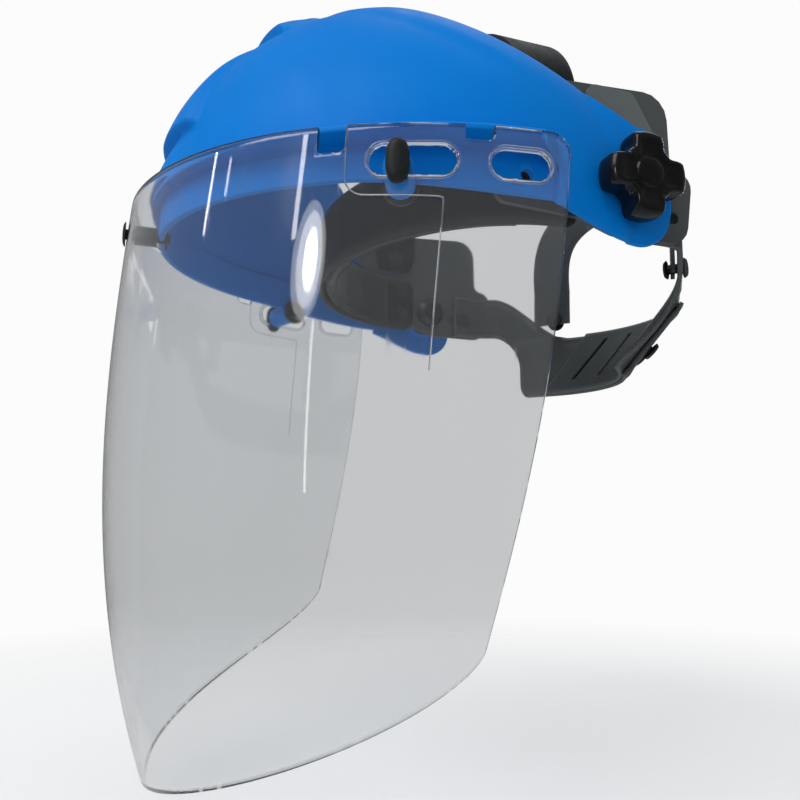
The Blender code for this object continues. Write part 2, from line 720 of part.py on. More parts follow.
def cut_plate_slot(side_plate, name, label, side, bounds):
    """A slot with round ends through a side plate; bounds are its low y and z, then its high ones."""
    y_low, z_low, y_high, z_high = bounds
    corners = ((y_low, z_low), (y_high, z_low), (y_high, z_high), (y_low, z_high))
    radius = min(y_high - y_low, z_high - z_low) / 2.0 - 0.05
    slot = rounded_outline(corners, (radius, radius, radius, radius), 3)
    low, high = sorted(side * x for x in (SIDE_PLATE_X[0] - 2.0, SIDE_PLATE_X[1] + 2.0))
    cut(side_plate, prism(f"cut_{name}_slot_{label}", slot, "yz", low, high))


# ---------------------------------------------------------------- head ring

def front_ring_point(turn, offset=0.0):
    """Plan of the ring's front half: turn in radians from straight ahead."""
    x = (RING_HALF_WIDTH + offset) * math.sin(turn)
    y = RING_FRONT_CENTRE_Y - (RING_FRONT_DEPTH + offset) * math.cos(turn)
    return x, y


def band_grid(turn_low, turn_high, columns, z_low, z_high, rows, offset):
    grid = np.zeros((rows, columns, 3))
    for j in range(columns):
        turn = turn_low + (turn_high - turn_low) * j / (columns - 1)
        x, y = front_ring_point(turn, offset)
        for i in range(rows):
            z = z_low + (z_high - z_low) * i / (rows - 1)
            grid[i, j] = (x, y, z)
    return grid


def rear_plan():
    """Plan of the rear half ring on the wearer's left, from the side plate to the nape."""
    points = [(STRAP_X, REAR_END_Y), (STRAP_X, REAR_STRAIGHT_Y)]
    centre_x = STRAP_X - REAR_CORNER_RADIUS
    for k in range(1, 13):
        turn = REAR_CORNER_TURN * k / 12.0
        points.append((centre_x + REAR_CORNER_RADIUS * math.cos(turn),
                       REAR_STRAIGHT_Y + REAR_CORNER_RADIUS * math.sin(turn)))
    corner_x, corner_y = points[-1]
    nape_x = NAPE_RADIUS * math.cos(REAR_CORNER_TURN)
    nape_y = corner_y + (corner_x - nape_x) / math.tan(REAR_CORNER_TURN)
    centre_y = nape_y - NAPE_RADIUS * math.sin(REAR_CORNER_TURN)
    for k in range(0, 25):
        turn = REAR_CORNER_TURN + (math.pi / 2.0 - REAR_CORNER_TURN) * k / 24.0
        points.append((NAPE_RADIUS * math.cos(turn), centre_y + NAPE_RADIUS * math.sin(turn)))
    return np.array(points)


def rear_y(x):
    """Where the rear half ring lies at a distance x from the middle."""
    plan = REAR_PLAN[1:]
    return float(np.interp(-abs(x), -plan[:, 0], plan[:, 1]))


def rear_path(last_x, count):
    """Evenly spaced plan points from the left side plate round the nape to x = last_x."""
    whole = np.concatenate([REAR_PLAN, REAR_PLAN[-2::-1] * np.array((-1.0, 1.0))])
    half = len(REAR_PLAN)
    kept = np.array([p for k, p in enumerate(whole) if k < half or p[0] >= last_x])
    run = np.concatenate([[0.0], np.cumsum(np.linalg.norm(np.diff(kept, axis=0), axis=1))])
    wanted = np.linspace(0.0, run[-1], count)
    return np.stack([np.interp(wanted, run, kept[:, 0]), np.interp(wanted, run, kept[:, 1])], axis=1)


def nape_share(x):
    """0 at the side plates, 1 over the nape, where the band has dropped to its lowest."""
    return smoothstep(-abs(x), -84.0, -46.0)


def rear_band_point(x, y, height_share):
    """Point on the rear band: height_share 0 at its lower edge, 1 at its upper edge."""
    drop = nape_share(x)
    top = 14.0 - 28.0 * drop
    bottom = top - REAR_BAND_HEIGHT - 12.0 * drop
    z = bottom + (top - bottom) * height_share
    lean = NAPE_LEAN * max(0.0, -13.0 - z) * drop
    return np.array((x * (1.0 - 0.004 * lean), y - lean, z))


def build_rear_bands(finish):
    """The left band is the inner layer with the slots; the right one laps over it and ends in a tail."""
    rows = 6
    inner = rear_path(LEFT_BAND_REACH, 34)
    grid = np.zeros((rows, len(inner), 3))
    for j, (x, y) in enumerate(inner):
        for i in range(rows):
            grid[i, j] = rear_band_point(x, y, i / (rows - 1))
    left = thick_sheet("rear_band_left", grid, BAND_WALL, (0, 0, 0), finish)
    outer = rear_path(-RIGHT_BAND_REACH, 36)
    grid = np.zeros((rows, len(outer), 3))
    for j, (x, y) in enumerate(outer):
        lap = LAP_STEP * smoothstep(-x, -62.0, -48.0) + 3.2 * smoothstep(-x, 36.0, 64.0)
        away = np.array((0.45 * math.copysign(abs(x / 60.0), -x), 1.0, -0.45))
        away /= np.linalg.norm(away)
        for i in range(rows):
            grid[i, j] = rear_band_point(-x, y, i / (rows - 1)) + away * lap
    right = thick_sheet("rear_band_right", grid, BAND_WALL, (0, 0, 0), finish)
    for number, x in enumerate((-9.0, -24.0)):
        corners = ((x - 1.5, -18.0), (x + 1.5, -18.0), (x + 1.5, -42.0), (x - 1.5, -42.0))
        cut(left, prism(f"cut_size_slot_{number}", corners, "xz", 30.0, 89.2 - 0.6 * (number == 1)))
    return left, right


def build_size_pegs(left, right, finish):
    """Two snap pegs that hold the lapped bands together at the nape."""
    for label, x in (("left", 26.0), ("right", 10.0)):
        normal = Vector((0.30 * x / 40.0, 0.72, -0.60)).normalized()
        place = Vector(rear_band_point(x, rear_y(x), 0.45))
        hole = rod_cutter("cut_size_peg_" + label, place, normal, 16.0, 2.3, 12)
        cut(left, hole)
        cut(right, rod_cutter("cut_size_peg_hole_" + label, place, normal, 16.0, 2.3, 12))
        profile = ((-BAND_WALL - 1.6, 0.0), (-BAND_WALL - 1.6, 2.9), (-BAND_WALL - 0.7, 3.6),
                   (-BAND_WALL - 0.7, 2.0), (LAP_STEP + 0.9, 2.0), (LAP_STEP + 0.9, 4.6),
                   (LAP_STEP + 2.2, 4.0), (LAP_STEP + 2.2, 0.0))
        turned("size_peg_" + label, profile, place, normal, finish, segments=16)


def build_band_studs(left, right, finish):
    """Studs at the front ends of the rear bands; each slides in a slot of its side plate."""
    y, z = BAND_STUD_PLACE
    for side, label, band in ((1.0, "left", left), (-1.0, "right", right)):
        cut(band, rod_cutter("cut_band_stud_" + label, (side * STRAP_X, y, z), (1, 0, 0), 10.0, 2.3, 14))
        inner = STRAP_X - BAND_WALL - GAP
        profile = ((inner - 1.2, 0.0), (inner - 1.2, 3.4), (inner, 4.4), (inner, 2.0),
                   (SIDE_PLATE_X[1] - 0.2, 2.0), (SIDE_PLATE_X[1] - 0.2, 0.0))
        turned("band_stud_" + label, profile, (0, y, z), (side, 0, 0), finish, segments=16)


def occipital_point(angle, across):
    """Point on the upper rear strap: angle 0 to pi along its arch, across from -1 to 1."""
    cosine, sine = math.cos(angle), math.sin(angle)
    x = 52.0 * signed_power(cosine, 0.55) + across * 8.0 * signed_power(cosine, 1.0)
    z = -6.0 + 62.0 * abs(sine) ** 0.55 + across * 9.0 * sine
    return np.array((x, rear_y(x) - BAND_WALL - 1.4 - 0.12 * max(0.0, z - 12.0), z))


def build_occipital_strap(finish):
    """Upper rear strap: an arch over the back of the head between the two rear bands."""
    steps = 36
    grid = np.zeros((4, steps + 1, 3))
    for j in range(steps + 1):
        for i in range(4):
            grid[i, j] = occipital_point(math.pi * j / steps, i * 2.0 / 3.0 - 1.0)
    return thick_sheet("occipital_strap", grid, BAND_WALL, (0, 0, 20.0), finish)


def build_occipital_button(label, side, strap, band, finish):
    """Snap button that holds the upper rear strap to a rear band."""
    x, z = 53.0, -4.0
    place = Vector((side * x, rear_y(x), z))
    normal = Vector((side * math.cos(math.pi / 2.0 - REAR_CORNER_TURN), 0.62, 0.0)).normalized()
    for target, name in ((strap, "strap"), (band, "band")):
        cut(target, rod_cutter(f"cut_{name}_button_{label}", place, normal, 18.0, 2.5, 12))
    profile = ((-7.0, 0.0), (-7.0, 3.4), (-6.0, 4.2), (-6.0, 2.1), (1.2, 2.1), (1.2, 4.6), (2.4, 3.8), (2.4, 0.0))
    turned("occipital_button_" + label, profile, place, normal, finish, segments=16)


def overhead_point(side, share, y, lap):
    """Point on one half of the overhead strap, share 0 at its lower end."""
    straight = 0.14
    if share < straight:
        z = OVERHEAD_LOW_Z + (OVERHEAD_BEND_Z - OVERHEAD_LOW_Z) * share / straight
        return (side * OVERHEAD_HALF_WIDTH, y, z)
    angle = math.radians(99.0) * (share - straight) / (1.0 - straight)
    lift = lap * smoothstep(angle, math.radians(52.0), math.radians(66.0))
    x = OVERHEAD_HALF_WIDTH * math.cos(angle)
    z = OVERHEAD_BEND_Z + (OVERHEAD_TOP_Z - OVERHEAD_BEND_Z) * math.sin(angle) + lift
    return (side * x, y, z)


def build_overhead_half(label, side, finish, lap):
    """Half of the strap over the top of the head; the halves lap at the middle."""
    columns = 24
    y_low, y_high = OVERHEAD_Y
    grid = np.zeros((3, columns, 3))
    for j in range(columns):
        for i in range(3):
            y = y_low + (y_high - y_low) * i / 2.0
            grid[i, j] = overhead_point(side, j / (columns - 1), y, lap)
    half = thick_sheet("overhead_strap_" + label, grid, BAND_WALL, (0, -20.0, 20.0), finish)
    y, z = BUTTON_PLACE
    middle = (side * OVERHEAD_HALF_WIDTH, y, z)
    cut(half, rod_cutter("cut_button_hole_" + label, middle, (1, 0, 0), 10.0, 2.8, 12))
    for number, y in enumerate((y_low + 6.0, y_high - 6.0)):
        hole = rod_cutter(f"cut_peg_hole_{label}_{number}", (0, y, OVERHEAD_TOP_Z), (0, 0, 1), 20.0, 2.3, 12)
        cut(half, hole)
    return half


def build_headgear_fasteners(finishes):
    """Buttons and pegs of the overhead strap, and the rivets of the front headband."""
    y_low, y_high = OVERHEAD_Y
    for label, y in (("front", y_low + 6.0), ("rear", y_high - 6.0)):
        low = OVERHEAD_TOP_Z - BAND_WALL
        high = OVERHEAD_TOP_Z + LAP_STEP
        profile = ((low - 1.5, 0.0), (low - 1.5, 3.0), (low - 0.5, 3.6), (low - 0.5, 2.0), (high + 0.4, 2.0),
                   (high + 0.4, 4.4), (high + 1.5, 3.8), (high + 1.5, 0.0))
        turned("overhead_peg_" + label, profile, (0, y, 0), (0, 0, 1), finishes["black"], segments=16)
    for side, label in ((1.0, "left"), (-1.0, "right")):
        y, z = BUTTON_PLACE
        inner = OVERHEAD_HALF_WIDTH - BAND_WALL - GAP
        outer = SIDE_PLATE_X[1] + GAP
        profile = ((inner - 1.2, 0.0), (inner - 1.2, 3.8), (inner, 4.6), (inner, 2.5), (outer, 2.5), (outer, 5.2),
                   (outer + 1.5, 4.4), (outer + 1.5, 0.0))
        turned("strap_button_" + label, profile, (0, y, z), (side, 0, 0), finishes["black"], segments=16)
        for number, (y, z) in enumerate(RIVET_PLACES, 1):
            inner = RING_HALF_WIDTH - BAND_WALL - 2.0 * GAP
            profile = ((inner - 0.8, 0.0), (inner - 0.8, 2.4), (inner, 3.4), (inner, 1.8), (outer, 1.8),
                       (outer, 3.6), (outer + 0.9, 2.6), (outer + 0.9, 0.0))
            turned(f"headband_rivet_{label}_{number}", profile, (0, y, z), (side, 0, 0), finishes["steel"],
                   segments=14)


def build_centre_stud(finish, parent):
    """Push stud through the visor and the band, with the collar that spaces them and a clip behind."""
    front = visor_point(0.0, visor_down(STUD_Z - 5.5))[1] - GAP
    collar_front = visor_point(0.0, visor_down(STUD_Z + 4.0), VISOR_THICKNESS)[1] + GAP
    collar_back = BAND_CENTRE_Y - BAND_DEPTH - GAP
    back = BAND_CENTRE_Y - BAND_DEPTH + WALL
    profile = ((front - 1.2, 0.0), (front - 1.0, 3.4), (front - 0.2, 5.0), (front, 5.0), (front, 2.1),
               (collar_front, 2.1), (collar_front, 3.9), (collar_back, 3.9), (collar_back, 2.1),
               (back + 2.4, 2.1), (back + 2.4, 0.0))
    turned("centre_stud", profile, (0, 0, STUD_Z), (0, 1, 0), finish, parent, 16)
    ring_washer("stud_clip", (0, back + GAP, STUD_Z), (0, 1, 0), 1.0, 4.6, 2.3, finish, parent, 16)


def main():
    clear_scene()
    finishes = {
        "blue": material("blue_plastic", (0.01, 0.20, 0.62), 0.35),
        "clear": material("clear_polycarbonate", (0.86, 0.90, 0.92), 0.05, alpha=0.3),
        "grey": material("grey_plastic", (0.10, 0.11, 0.11), 0.5),
        "dark_grey": material("dark_grey_plastic", (0.05, 0.055, 0.055), 0.5),
        "black": material("matte_black_plastic", (0.02, 0.02, 0.02), 0.6),
        "gloss_black": material("gloss_black_plastic", (0.01, 0.01, 0.01), 0.2),
        "foam": material("foam", (0.015, 0.015, 0.018), 0.95),
        "steel": material("steel", (0.6, 0.6, 0.6), 0.3, metallic=1.0),
        "brass": material("brass", (0.75, 0.55, 0.25), 0.3, metallic=1.0),
    }
    tilt = axis_empty("tilt_axis", (0, PIVOT_Y, PIVOT_Z))
    build_visor(finishes["clear"], tilt)
    build_crown(finishes["blue"], tilt)
    for side, label in ((1.0, "left"), (-1.0, "right")):
        anchor, outward = lock_place(side)
        lock_axis = axis_empty("lock_axis_" + label, anchor, tilt)
        build_twist_lock(label, side, finishes["black"], lock_axis)
        build_lock_clip(label, side, finishes["steel"], lock_axis)
        knob_axis = axis_empty("knob_axis_" + label, (side * KNOB_X[0], PIVOT_Y, PIVOT_Z))
        build_pivot(label, side, finishes, knob_axis)
        holes = [(PIVOT_Y, PIVOT_Z, BOLT_HOLE_RADIUS)] + [(y, z, 2.1) for y, z in RIVET_PLACES]
        side_plate = plate("side_plate_" + label, side_plate_outline(), SIDE_PLATE_X, side, finishes["grey"],
                           holes)
        y, z = BUTTON_PLACE
        cut_plate_slot(side_plate, "button", label, side, (y - 2.9, z - 8.5, y + 2.9, z + 10.0))
        y, z = BAND_STUD_PLACE
        cut_plate_slot(side_plate, "band_stud", label, side, (y - 8.5, z - 2.4, y + 12.0, z + 2.4))
        holes = ((PIVOT_Y, PIVOT_Z, BOLT_HOLE_RADIUS),)
        plate("pivot_bracket_" + label, bracket_outline(), BRACKET_X, side, finishes["grey"], holes)
        build_overhead_half(label, side, finishes["dark_grey"], LAP_STEP if side > 0 else 0.0)
    turn = math.radians(92.0)
    headband = band_grid(-turn, turn, 45, *HEADBAND_Z, 2, 0.0)
    ring = thick_sheet("front_headband", headband, BAND_WALL, (0, 0, 0), finishes["dark_grey"])
    for number, (y, z) in enumerate(RIVET_PLACES):
        cut(ring, rod_cutter(f"cut_rivet_hole_{number}", (0, y, z), (1, 0, 0), 200.0, 2.1, 14))
    turn = math.radians(80.0)
    pad = band_grid(-turn, turn, 37, *SWEATBAND_Z, 4, -BAND_WALL - GAP)
    thick_sheet("sweatband", pad, SWEATBAND_THICKNESS, (0, 0, 0), finishes["foam"])
    left, right = build_rear_bands(finishes["grey"])
    build_size_pegs(left, right, finishes["black"])
    build_band_studs(left, right, finishes["black"])
    occipital = build_occipital_strap(finishes["grey"])
    for side, label in ((1.0, "left"), (-1.0, "right")):
        build_occipital_button(label, side, occipital, left if side > 0 else right, finishes["black"])
    build_headgear_fasteners(finishes)
    build_centre_stud(finishes["black"], tilt)


REAR_EDGE = rear_edge()
REAR_PLAN = rear_plan()
main()
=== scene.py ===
"""Face shield: fine surfaces, materials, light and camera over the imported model."""
import math

import bmesh
import bpy
import numpy as np
from mathutils import Matrix, Vector


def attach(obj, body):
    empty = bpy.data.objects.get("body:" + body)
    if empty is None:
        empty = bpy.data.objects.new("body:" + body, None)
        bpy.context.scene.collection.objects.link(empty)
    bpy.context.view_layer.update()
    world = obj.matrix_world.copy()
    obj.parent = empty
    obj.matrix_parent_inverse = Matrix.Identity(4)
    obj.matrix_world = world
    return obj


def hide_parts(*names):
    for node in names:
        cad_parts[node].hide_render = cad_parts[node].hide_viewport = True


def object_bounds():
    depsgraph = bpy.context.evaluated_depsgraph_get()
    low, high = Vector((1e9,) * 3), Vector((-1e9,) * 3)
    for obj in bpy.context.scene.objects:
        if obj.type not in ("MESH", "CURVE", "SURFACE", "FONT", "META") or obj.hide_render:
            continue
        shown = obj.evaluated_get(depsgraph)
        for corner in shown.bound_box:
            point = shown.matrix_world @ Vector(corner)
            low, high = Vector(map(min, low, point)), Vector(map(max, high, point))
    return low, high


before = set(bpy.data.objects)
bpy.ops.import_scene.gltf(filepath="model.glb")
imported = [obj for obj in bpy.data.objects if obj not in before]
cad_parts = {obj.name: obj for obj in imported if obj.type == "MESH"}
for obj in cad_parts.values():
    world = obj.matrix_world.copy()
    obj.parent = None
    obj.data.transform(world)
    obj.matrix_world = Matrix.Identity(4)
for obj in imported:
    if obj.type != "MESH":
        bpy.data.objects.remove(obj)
bpy.context.scene.view_settings.view_transform = "Standard"
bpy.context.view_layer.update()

MM = 0.001
GAP = 0.3
SIDES = ((1.0, "left"), (-1.0, "right"))
TUBE_REFERENCE = Vector((0.31, 0.52, 0.80))

# visor, in millimetres
VISOR_THICKNESS = 1.5
VISOR_HEIGHT = 220.0
VISOR_TOP_Z = 9.8
VISOR_CENTRE_Y = -23.9
VISOR_HALF_WIDTH = 118.0
VISOR_DEPTH = 139.8
VISOR_BARREL = (19.4, -8.6, -26.6)
VISOR_TAPER = 12.4
VISOR_SIDE_ANGLE = 1.524
VISOR_STRAIGHT = 0.735
VISOR_CORNER_POWER = 1.648
VISOR_TOP_CORNER = 7.0
LOCK_ANGLE = 1.120
LOCK_Z = -3.7
LOCK_BAND_DEPTH = 15.9
SLOT_Z = LOCK_Z + 1.4
LOCK_SLOT = (1.050, 1.254, 10.0)
LOOSE_SLOT = (1.333, 1.474, 9.5)
NOTCH_FRONT = (0.922, 0.993, 9.0)
NOTCH_REAR = (1.271, 1.337, 5.0)
STUD_Z = -1.0
NOTCH_CORNER_RADIUS = 2.2

# crown guard
WALL = 2.4
BAND_HALF_WIDTH = 103.6
BAND_DEPTH = 138.8
BAND_CENTRE_Y = -13.8
SHELF_Z = 10.3
RIM_TOP_Z = 13.0
RIM_HALF_WIDTH = 115.0
RIM_FRONT_Y = -156.0
DOME_HALF_WIDTH = 110.0
ARM_HALF_WIDTH = 104.5
BAND_END_ANGLE = math.radians(84.0)
BAND_SHARE = 0.80
STEP_RADIUS = 6.0
ARM_START_Y = -27.9
ARM_END_Y = 18.5
ARM_BOSS_X = 97.0
CREST_HALF_WIDTH = 34.0
CREST_STEPS = (1.0, 13.0, 36.0, 53.0)
CREST_HEIGHT = 4.8
DOME_MIDDLE = np.array((0.0, -15.0, 12.0))
BOLT_HOLE_RADIUS = 3.4
ARM_BOSS_OUTER_X = 102.8
REAR_LIP = 0.9
PIVOT_Y = 1.5
PIVOT_Z = 3.5
KNOB_X = (106.1, 117.4)
KNOB_RADIUS = 15.2
KNOB_VALLEY_RADIUS = 10.6
RIVET_PLACES = ((-16.0, 1.0), (-16.0, 14.0))

# headgear
BAND_WALL = 1.8
STRAP_X = 86.5
RING_HALF_WIDTH = 87.5
RING_FRONT_CENTRE_Y = -12.0
RING_FRONT_DEPTH = 70.0
HEADBAND_Z = (-8.0, 21.0)
SWEATBAND_Z = (-9.2, 23.0)
SWEATBAND_THICKNESS = 6.0
REAR_END_Y = 16.0
REAR_STRAIGHT_Y = 30.0
REAR_CORNER_RADIUS = 16.0
REAR_CORNER_TURN = math.radians(52.0)
NAPE_RADIUS = 62.0
REAR_BAND_HEIGHT = 23.0
LEFT_BAND_REACH = -44.0
RIGHT_BAND_REACH = 64.0
NAPE_LEAN = 0.85
OVERHEAD_Y = (-32.0, -9.0)
OVERHEAD_LOW_Z = 26.0
OVERHEAD_BEND_Z = 42.0
OVERHEAD_TOP_Z = 95.0
OVERHEAD_HALF_WIDTH = 87.6
LAP_STEP = 2.2
BUTTON_PLACE = (-20.5, 33.0)
BAND_STUD_PLACE = (21.0, 0.5)
SIZE_PEG_X = (26.0, 10.0)
OCCIPITAL_X = 53.0
OCCIPITAL_BUTTON_Z = -4.0
SWELL_LIMIT = 1.1

# light and floor; places and sizes of the lights are in metres
FLOOR_RADIUS = 650.0
MIDDLE = (0.0, -0.06, 0.0)
FRONT = (0.09, -0.12, -0.02)
LIGHTS = (  # name, outline, place, target, width and height, power
    ("key", "RECTANGLE", (0.55, -1.00, 1.10), MIDDLE, (1.1, 0.9), 13.0),
    ("top", "RECTANGLE", (-0.35, 0.45, 1.35), MIDDLE, (0.9, 0.9), 3.5),
    ("back", "RECTANGLE", (-0.9, 0.9, 0.5), MIDDLE, (0.6, 0.6), 3.0),
    ("strip_wide", "RECTANGLE", (0.62, -0.92, 0.43), FRONT, (0.028, 0.22), 0.20),
    ("window_rim", "ELLIPSE", (0.72, -0.88, 0.27), FRONT, (0.2, 0.23), 0.42),
    ("window_middle", "ELLIPSE", (0.72, -0.87, 0.27), FRONT, (0.15, 0.185), 0.4),
    ("window_centre", "ELLIPSE", (0.72, -0.86, 0.27), FRONT, (0.08, 0.12), 0.42),
    ("strip_low", "RECTANGLE", (0.87, -0.95, -0.02), FRONT, (0.016, 0.40), 0.12),
    ("strip_thin", "RECTANGLE", (-0.02, -1.15, 0.47), FRONT, (0.018, 0.16), 0.14),
    ("strip_side", "RECTANGLE", (0.125, -1.15, 0.50), FRONT, (0.018, 0.07), 0.035),
)
WORLD_GREYS = ((0.0, (0.30, 0.30, 0.31)), (0.42, (0.50, 0.505, 0.51)), (1.0, (0.50, 0.51, 0.53)))


# ---------------------------------------------------------------- mesh helpers


def mesh_object(name, points, faces, finish, sharp_degrees=38.0):
    """One object from points in millimetres, smooth where its faces meet gently."""
    mesh = bpy.data.meshes.new(name)
    mesh.from_pydata([tuple(c * MM for c in p) for p in points], [], faces)
    shape = bmesh.new()
    shape.from_mesh(mesh)
    bmesh.ops.recalc_face_normals(shape, faces=shape.faces)
    shape.to_mesh(mesh)
    shape.free()
    mesh.shade_smooth()
    mesh.set_sharp_from_angle(angle=math.radians(sharp_degrees))
    made = bpy.data.objects.new(name, mesh)
    bpy.context.scene.collection.objects.link(made)
    if finish is not None:
        made.data.materials.append(finish)
    return made


def smoothstep(value, low, high):
    t = min(1.0, max(0.0, (value - low) / (high - low)))
    return t * t * (3.0 - 2.0 * t)


def signed_power(value, power):
    return math.copysign(abs(value) ** power, value)


def apply_modifiers(made, sharp_degrees=38.0):
    """Bake an object's modifiers into its mesh."""
    bpy.context.view_layer.update()
    evaluated = made.evaluated_get(bpy.context.evaluated_depsgraph_get())
    finished = bpy.data.meshes.new_from_object(evaluated)
    finished.name = made.name
    made.modifiers.clear()
    made.data = finished
    made.data.shade_smooth()
    made.data.set_sharp_from_angle(angle=math.radians(sharp_degrees))


def boolean(target, tools, operation="DIFFERENCE", solver="EXACT"):
    """Cut the tools from the target, or join them to it, and remove them."""
    for tool in tools:
        change = target.modifiers.new("cut", "BOOLEAN")
        change.operation = operation
        change.solver = solver
        change.object = tool
    apply_modifiers(target)
    for tool in tools:
        bpy.data.objects.remove(tool, do_unlink=True)


def soften(made, width, degrees):
    """Round every edge sharper than this by the same small radius, given in millimetres."""
    change = made.modifiers.new("soft_edges", "BEVEL")
    change.width = width * MM
    change.segments = 2
    change.limit_method = "ANGLE"
    change.angle_limit = math.radians(degrees)


def cut_and_soften(made, tools, width, sharp_degrees=38.0):
    boolean(made, tools)
    soften(made, width, 50.0)
    apply_modifiers(made, sharp_degrees)


def clean(made):
    """Merge points that coincide and drop faces without area."""
    shape = bmesh.new()
    shape.from_mesh(made.data)
    bmesh.ops.remove_doubles(shape, verts=shape.verts, dist=0.012 * MM)
    bmesh.ops.dissolve_degenerate(shape, edges=shape.edges, dist=0.006 * MM)
    shape.to_mesh(made.data)
    shape.free()


def grid_faces(rows, columns, offset=0, around=False):
    faces = []
    for i in range(rows - 1):
        for j in range(columns if around else columns - 1):
            n = (j + 1) % columns
            faces.append((offset + i * columns + j, offset + i * columns + n,
                          offset + (i + 1) * columns + n, offset + (i + 1) * columns + j))
    return faces


def sheet_faces(rows, columns):
    """Faces of a closed sheet: an outer grid of points, then an inner one, then its edges."""
    half = rows * columns
    faces = grid_faces(rows, columns)
    faces += [tuple(reversed(f)) for f in grid_faces(rows, columns, half)]
    border = [j for j in range(columns)]
    border += [i * columns + columns - 1 for i in range(1, rows)]
    border += [(rows - 1) * columns + j for j in range(columns - 2, -1, -1)]
    border += [i * columns for i in range(rows - 2, 0, -1)]
    for k, here in enumerate(border):
        following = border[(k + 1) % len(border)]
        faces.append((here, following, half + following, half + here))
    return faces


def loft_faces(rings, sides):
    """Faces of a closed body: rings of points joined in order, with a cap at each end."""
    first = tuple(range(sides))
    last = tuple(range((rings - 1) * sides, rings * sides))
    return grid_faces(rings, sides, around=True) + [first[::-1], last]


def prism(first, second):
    """A closed cutting tool between two matching outlines."""
    return mesh_object("cutter", first + second, loft_faces(2, len(first)), None)


def rounded(before, corner, after, radius, steps=4, most=0.45):
    """Points that round a corner and use at most this share of the two sides that meet there."""
    before, corner, after = (np.array(p, float) for p in (before, corner, after))
    ends = []
    for side in (before - corner, after - corner):
        length = max(1e-6, np.linalg.norm(side))
        ends.append(corner + side / length * min(radius, length * most))
    start, end = ends
    shares = np.linspace(0.0, 1.0, steps + 1)
    return [start * (1 - t) ** 2 + corner * 2 * t * (1 - t) + end * t ** 2 for t in shares]


def sheet_normals(grid, inside_point=(0, 0, 0)):
    """Unit normals of a grid of points, pointing away from inside_point."""
    normals = np.cross(np.gradient(grid, axis=1), np.gradient(grid, axis=0))
    normals /= np.linalg.norm(normals, axis=2, keepdims=True)
    middle = (grid.shape[0] // 2, grid.shape[1] // 2)
    facing = np.dot(normals[middle], grid[middle] - np.array(inside_point))
    return -normals if facing < 0 else normals


def thick_sheet(name, grid, thickness, finish, inside_point=(0, 0, 0)):
    """A strap whose outer face is the grid and whose inner face lies nearer inside_point."""
    inner = grid - sheet_normals(grid, inside_point) * thickness
    points = np.concatenate([grid.reshape(-1, 3), inner.reshape(-1, 3)])
    return mesh_object(name, points.tolist(), sheet_faces(*grid.shape[:2]), finish)


def turned(name, profile, centre, axis, finish=None, segments=48):
    """A round piece: profile points are (distance along the axis, radius), first and last on it."""
    turn_frame = Vector((1, 0, 0)).rotation_difference(Vector(axis).normalized()).to_matrix()
    points = []
    rings = []
    for along, radius in profile:
        ring = []
        for k in range(segments if radius > 0.0 else 1):
            turn = 2.0 * math.pi * k / segments
            ring.append(len(points))
            offset = Vector((along, radius * math.cos(turn), radius * math.sin(turn)))
            points.append(Vector(centre) + turn_frame @ offset)
        rings.append(ring)
    faces = []
    for first, second in zip(rings, rings[1:]):
        for k in range(segments):
            n = (k + 1) % segments
            if len(first) == 1:
                faces.append((first[0], second[k], second[n]))
            elif len(second) == 1:
                faces.append((first[k], first[n], second[0]))
            else:
                faces.append((first[k], first[n], second[n], second[k]))
    return mesh_object(name, points, faces, finish)


def rod(centre, axis, length, radius, segments=40):
    profile = ((-length / 2, 0.0), (-length / 2, radius), (length / 2, radius), (length / 2, 0.0))
    return turned("rod", profile, centre, axis, segments=segments)


def tube(name, path, radius, finish, closed=False, sides=8):
    """A round bead along a path of points in millimetres."""
    path = [Vector(p) for p in path]
    count = len(path)
    points = []
    for k, here in enumerate(path):
        ahead = path[(k + 1) % count] if closed or k + 1 < count else here
        behind = path[k - 1] if closed or k > 0 else here
        direction = (ahead - behind).normalized()
        side = direction.cross(TUBE_REFERENCE).normalized()
        up = direction.cross(side)
        for s in range(sides):
            turn = 2.0 * math.pi * s / sides
            points.append(here + (side * math.cos(turn) + up * math.sin(turn)) * radius)
    if closed:
        last = (count - 1) * sides
        faces = grid_faces(count, sides, around=True)
        faces += [(last + s, last + (s + 1) % sides, (s + 1) % sides, s) for s in range(sides)]
    else:
        faces = loft_faces(count, sides)
    return mesh_object(name, points, faces, finish)


def place_on(made, body, slot_name, *nodes):
    """The piece rides on its body and stands for its CAD nodes; its slot name is not used."""
    clean(made)
    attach(made, body)
    if nodes:
        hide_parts(*nodes)


def feed(tree, node, inputs):
    """Link each socket among the values to the node's input, and set the input to any other value."""
    for name, value in inputs.items():
        if isinstance(value, bpy.types.NodeSocket):
            tree.links.new(value, node.inputs[name])
        else:
            node.inputs[name].default_value = value


def add_node(tree, kind, inputs=None, **settings):
    made = tree.nodes.new("ShaderNode" + kind)
    for name, value in settings.items():
        setattr(made, name, value)
    feed(tree, made, inputs or {})
    return made


def colour_ramp(tree, source, stops):
    made = add_node(tree, "ValToRGB", {"Fac": source})
    ramp = made.color_ramp
    while len(ramp.elements) < len(stops):
        ramp.elements.new(0.5)
    for element, (position, colour) in zip(ramp.elements, stops):
        element.position = position
        element.color = (*colour, 1.0)
    return made.outputs["Color"]


def mix_shaders(tree, share, first, second):
    return add_node(tree, "MixShader", {"Fac": share, 1: first, 2: second}).outputs["Shader"]


# ---------------------------------------------------------------- materials


